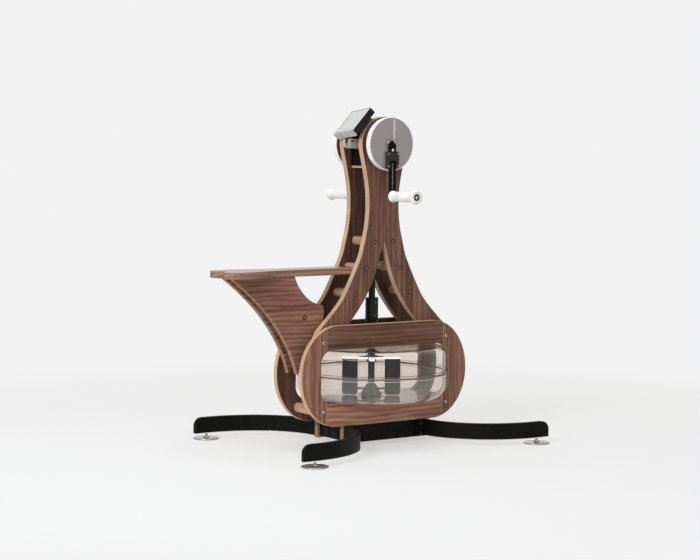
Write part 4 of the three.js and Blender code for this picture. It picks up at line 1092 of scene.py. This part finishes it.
def leg_mesh(end, side, low, high, half, rounded_end=True):
    """A band along a quarter ellipse and a short straight end, its top corner rounded."""
    centre_x = LEG_ROOT + SWEEP_X
    stations = []
    for i in range(41):
        angle = math.pi / 2 * i / 40
        middle = Vector((centre_x - SWEEP_X * math.cos(angle), LEG_ROOT_Y + SWEEP_Y * math.sin(angle)))
        along = Vector((SWEEP_X * math.sin(angle), SWEEP_Y * math.cos(angle))).normalized()
        stations.append((middle, Vector((-along.y, along.x)) * half))
    stations[0] = (Vector((LEG_ROOT, RAIL_JOINT)), stations[0][1])
    last = stations[-1]
    bend = LEG_END - LEG_CORNER
    reach = [bend, *[bend + LEG_CORNER * math.sin(math.radians(6 * i)) for i in range(1, 16)]]
    stations += [(Vector((x, last[0].y)), last[1]) for x in reach]
    bm = bmesh.new()
    rings = []
    for middle, across in stations:
        drop = max(0, middle.x - bend)
        top = high - (LEG_CORNER - math.sqrt(max(0, LEG_CORNER**2 - drop**2))) if rounded_end else high
        near, far = middle + across, middle - across
        corners = [(near, low), (far, low), (far, top), (near, top)]
        rings.append([bm.verts.new(at(end * p.x, side * p.y, z)) for p, z in corners])
    for a, b in zip(rings, rings[1:]):
        for i in range(4):
            k = (i + 1) % 4
            bm.faces.new((a[i], a[k], b[k], b[i]))
    bm.faces.new(rings[0])
    bm.faces.new(rings[-1])
    bmesh.ops.recalc_face_normals(bm, faces=bm.faces)
    soften(bm, 1.1, 3)
    return bm


def leg(end, side, end_name, name):
    node = f"{end_name}_{name}_leg"
    split = LEG_LOW + 2.6  # the steel strip's height
    finish_piece(f"{node}_band", leg_mesh(end, side, split, LEG_HIGH, LEG_HALF), [black_coat], "frame",
                 [node])
    strip = leg_mesh(end, side, LEG_LOW, split, LEG_HALF - 0.3, rounded_end=False)
    finish_piece(f"{node}_edge", strip, [polished], "frame")
    flange = box_mesh(*between(end, 118, 152), *between(side, RAIL_JOINT, FLANGE_FACE), LEG_LOW, LEG_HIGH,
                      1.2, 3)
    finish_piece(f"{node}_flange", flange, [black_coat], "frame")
    bolt_row(f"{node}_bolts", [(end * a, b) for a, b in FLANGE_BOLTS], FLANGE_FACE, side, "frame",
             black_gloss, washer=6.0, head=5.0, height=2.8)


def foot(end, side, end_name, name):
    node = f"{end_name}_{name}_foot"
    body = f"{end_name}_{name}_leveller"
    top = span(node, Z)[1]
    thread = [(4.0 if i % 2 else 3.6, 10 + 0.75 * i) for i in range(12)]
    profile = [(0, 0), (FOOT_RADIUS - 1.5, 0), (FOOT_RADIUS, 1.2), (FOOT_RADIUS, 3),
               (FOOT_RADIUS - 1.6, 4.2), (16, 5.0), (11, 6.2), (8.6, 9), (4.4, 9.6), *thread, (4, 20),
               (4, top), (0, top)]
    bm = turned_mesh(rounded(profile, 0.6, 2), Z, end * FOOT_X, side * FOOT_Y, segments=96)
    finish_piece(f"{node}_plate", bm, [foot_metal], body, [node], smooth=50)


def rail(side, name):
    """A wooden beam with a thin black cover on its outer face."""
    node = f"{name}_base_rail"
    x, y, z = spans(node)
    near, far = sorted(abs(v) for v in y)
    skin = far - 2.0
    beam = box_mesh(*x, *between(side, near, skin), *z, 1.2)
    finish_piece(f"{name}_rail_beam", beam, [walnut_level, walnut_rim], "frame", [node])
    cover = box_mesh(x[0] + 6, x[1] - 6, *between(side, skin + 0.1, far), *z, 0.6)
    finish_piece(f"{name}_rail_cover", cover, [black_coat], "frame")


def cross_member(end, end_name):
    node = f"{end_name}_cross_member"
    x, y, z = spans(node)
    finish_piece(f"{end_name}_beam", box_mesh(*x, *y, *z, 1.4, 3), [black_coat], "frame",
                 [node])
    face = x[0] if end == REAR else x[1]
    turn = Matrix.Rotation(end * math.pi / 2, 4, "Y")
    bolts = [turned_to(bolt_mesh(Z, 0, 0, 0, washer=8, head=6, height=3.5), turn,
                       (face, side * 21, sum(z) / 2)) for side, _ in SIDES]
    bolt_piece(f"{end_name}_beam_bolts", bolts, "frame", black_cast)


for side, name in SIDES:
    rail(side, name)
    for end, end_name in ENDS:
        leg(end, side, end_name, name)
        foot(end, side, end_name, name)
for end, end_name in ENDS:
    cross_member(end, end_name)
for node in ("crown_gear", "drive_pinion"):
    gear = frame["nodes"][node].data
    gear.materials.clear()
    gear.materials.append(brushed)


# ---- stage

PAPER = 0.888  # brightness of the backdrop
ROOM = 0.46  # brightness of the room that lights the object

LENS = 98.0  # millimetres, on a sensor 36 wide
CAMERA_AT = (-3.4902, -5.0496, 0.9821)
CAMERA_TURN = (-34.379, -4.227, 0.411)  # yaw, pitch and roll in degrees


def backdrop():
    """A pale floor that fades into the even background away from the object."""
    bm = bmesh.new()
    bmesh.ops.create_grid(bm, x_segments=24, y_segments=24, size=6)
    mesh = bpy.data.meshes.new("floor")
    bm.to_mesh(mesh)
    bm.free()
    floor = bpy.data.objects.new("floor", mesh)
    bpy.context.scene.collection.objects.link(floor)
    r = Recipe("floor_paper", {"Roughness": 0.9, "Specular IOR Level": 0.1,
                               "Emission Color": (0.505, 0.484, 0.466, 1), "Emission Strength": 1.0})
    tone = r.noise(r.place, 3, 2)
    r.colour(r.ramp(tone, (0.3, (0.362, 0.384, 0.403)), (0.7, (0.370, 0.392, 0.411))))
    away = r.node("ShaderNodeVectorMath", {0: r.place}, operation="LENGTH").outputs["Value"]
    fade = r.node("ShaderNodeMapRange", {"Value": away, "From Min": 1.0, "From Max": 2.4},
                  interpolation_type="SMOOTHSTEP").outputs["Result"]
    clear_floor = r.node("ShaderNodeBsdfTransparent").outputs[0]
    mix = r.node("ShaderNodeMixShader", {0: fade, 1: r.shader.outputs[0], 2: clear_floor})
    r.tree.links.new(mix.outputs[0], r.tree.nodes["Material Output"].inputs["Surface"])
    mesh.materials.append(r.material)


def world():
    """The even backdrop that is seen, straight or through clear parts, and a dimmer room round it."""
    sky = bpy.data.worlds.new("studio")
    bpy.context.scene.world = sky
    sky.use_nodes = True
    tree = sky.node_tree
    room = tree.nodes["Background"]
    room.inputs["Color"].default_value = (ROOM, ROOM, ROOM, 1)
    paper = add_node(tree, "ShaderNodeBackground", {"Color": (PAPER, PAPER, PAPER, 1)})
    path = add_node(tree, "ShaderNodeLightPath").outputs
    seen = add_node(tree, "ShaderNodeMath", {0: path["Is Camera Ray"], 1: path["Is Transmission Ray"]},
                    operation="MAXIMUM")
    mix = add_node(tree, "ShaderNodeMixShader", {0: seen.outputs[0], 1: room.outputs[0],
                                                 2: paper.outputs[0]})
    tree.links.new(mix.outputs[0], tree.nodes["World Output"].inputs["Surface"])


def softbox(name, place, aim, size, power):
    light = bpy.data.lights.new(name, "AREA")
    light.shape, light.size, light.size_y = "RECTANGLE", *size
    light.energy = power
    lamp = bpy.data.objects.new(name, light)
    lamp.visible_camera = False
    lamp.visible_transmission = False
    lamp.location = place
    lamp.rotation_euler = (Vector(aim) - Vector(place)).to_track_quat("-Z", "Y").to_euler()
    bpy.context.scene.collection.objects.link(lamp)


def camera():
    """A long lens behind the rider's right, a little below the top of the object."""
    data = bpy.data.cameras.new("camera")
    data.lens, data.sensor_width = LENS, 36.0
    lens = bpy.data.objects.new("camera", data)
    bpy.context.scene.collection.objects.link(lens)
    yaw, pitch, roll = (math.radians(a) for a in CAMERA_TURN)
    forward = Vector((-math.sin(yaw) * math.cos(pitch), math.cos(yaw) * math.cos(pitch), math.sin(pitch)))
    right = forward.cross(Vector((0, 0, 1))).normalized()
    level = Matrix((right, right.cross(forward), -forward)).transposed().to_4x4()
    lens.matrix_world = Matrix.Translation(CAMERA_AT) @ level @ Matrix.Rotation(roll, 4, "Z")
    bpy.context.scene.camera = lens

backdrop()
world()
softbox("key", (-4.6, -2.0, 2.5), (0, 0, 0.5), (2.4, 2.4), 150)
softbox("top", (-0.3, -0.3, 4.4), (0, 0, 0.3), (3.6, 3.6), 80)
softbox("back", (3.2, 4.6, 1.9), (0, 0, 0.6), (3.6, 2.2), 16)
camera()
bpy.context.scene.view_settings.view_transform = "Standard"
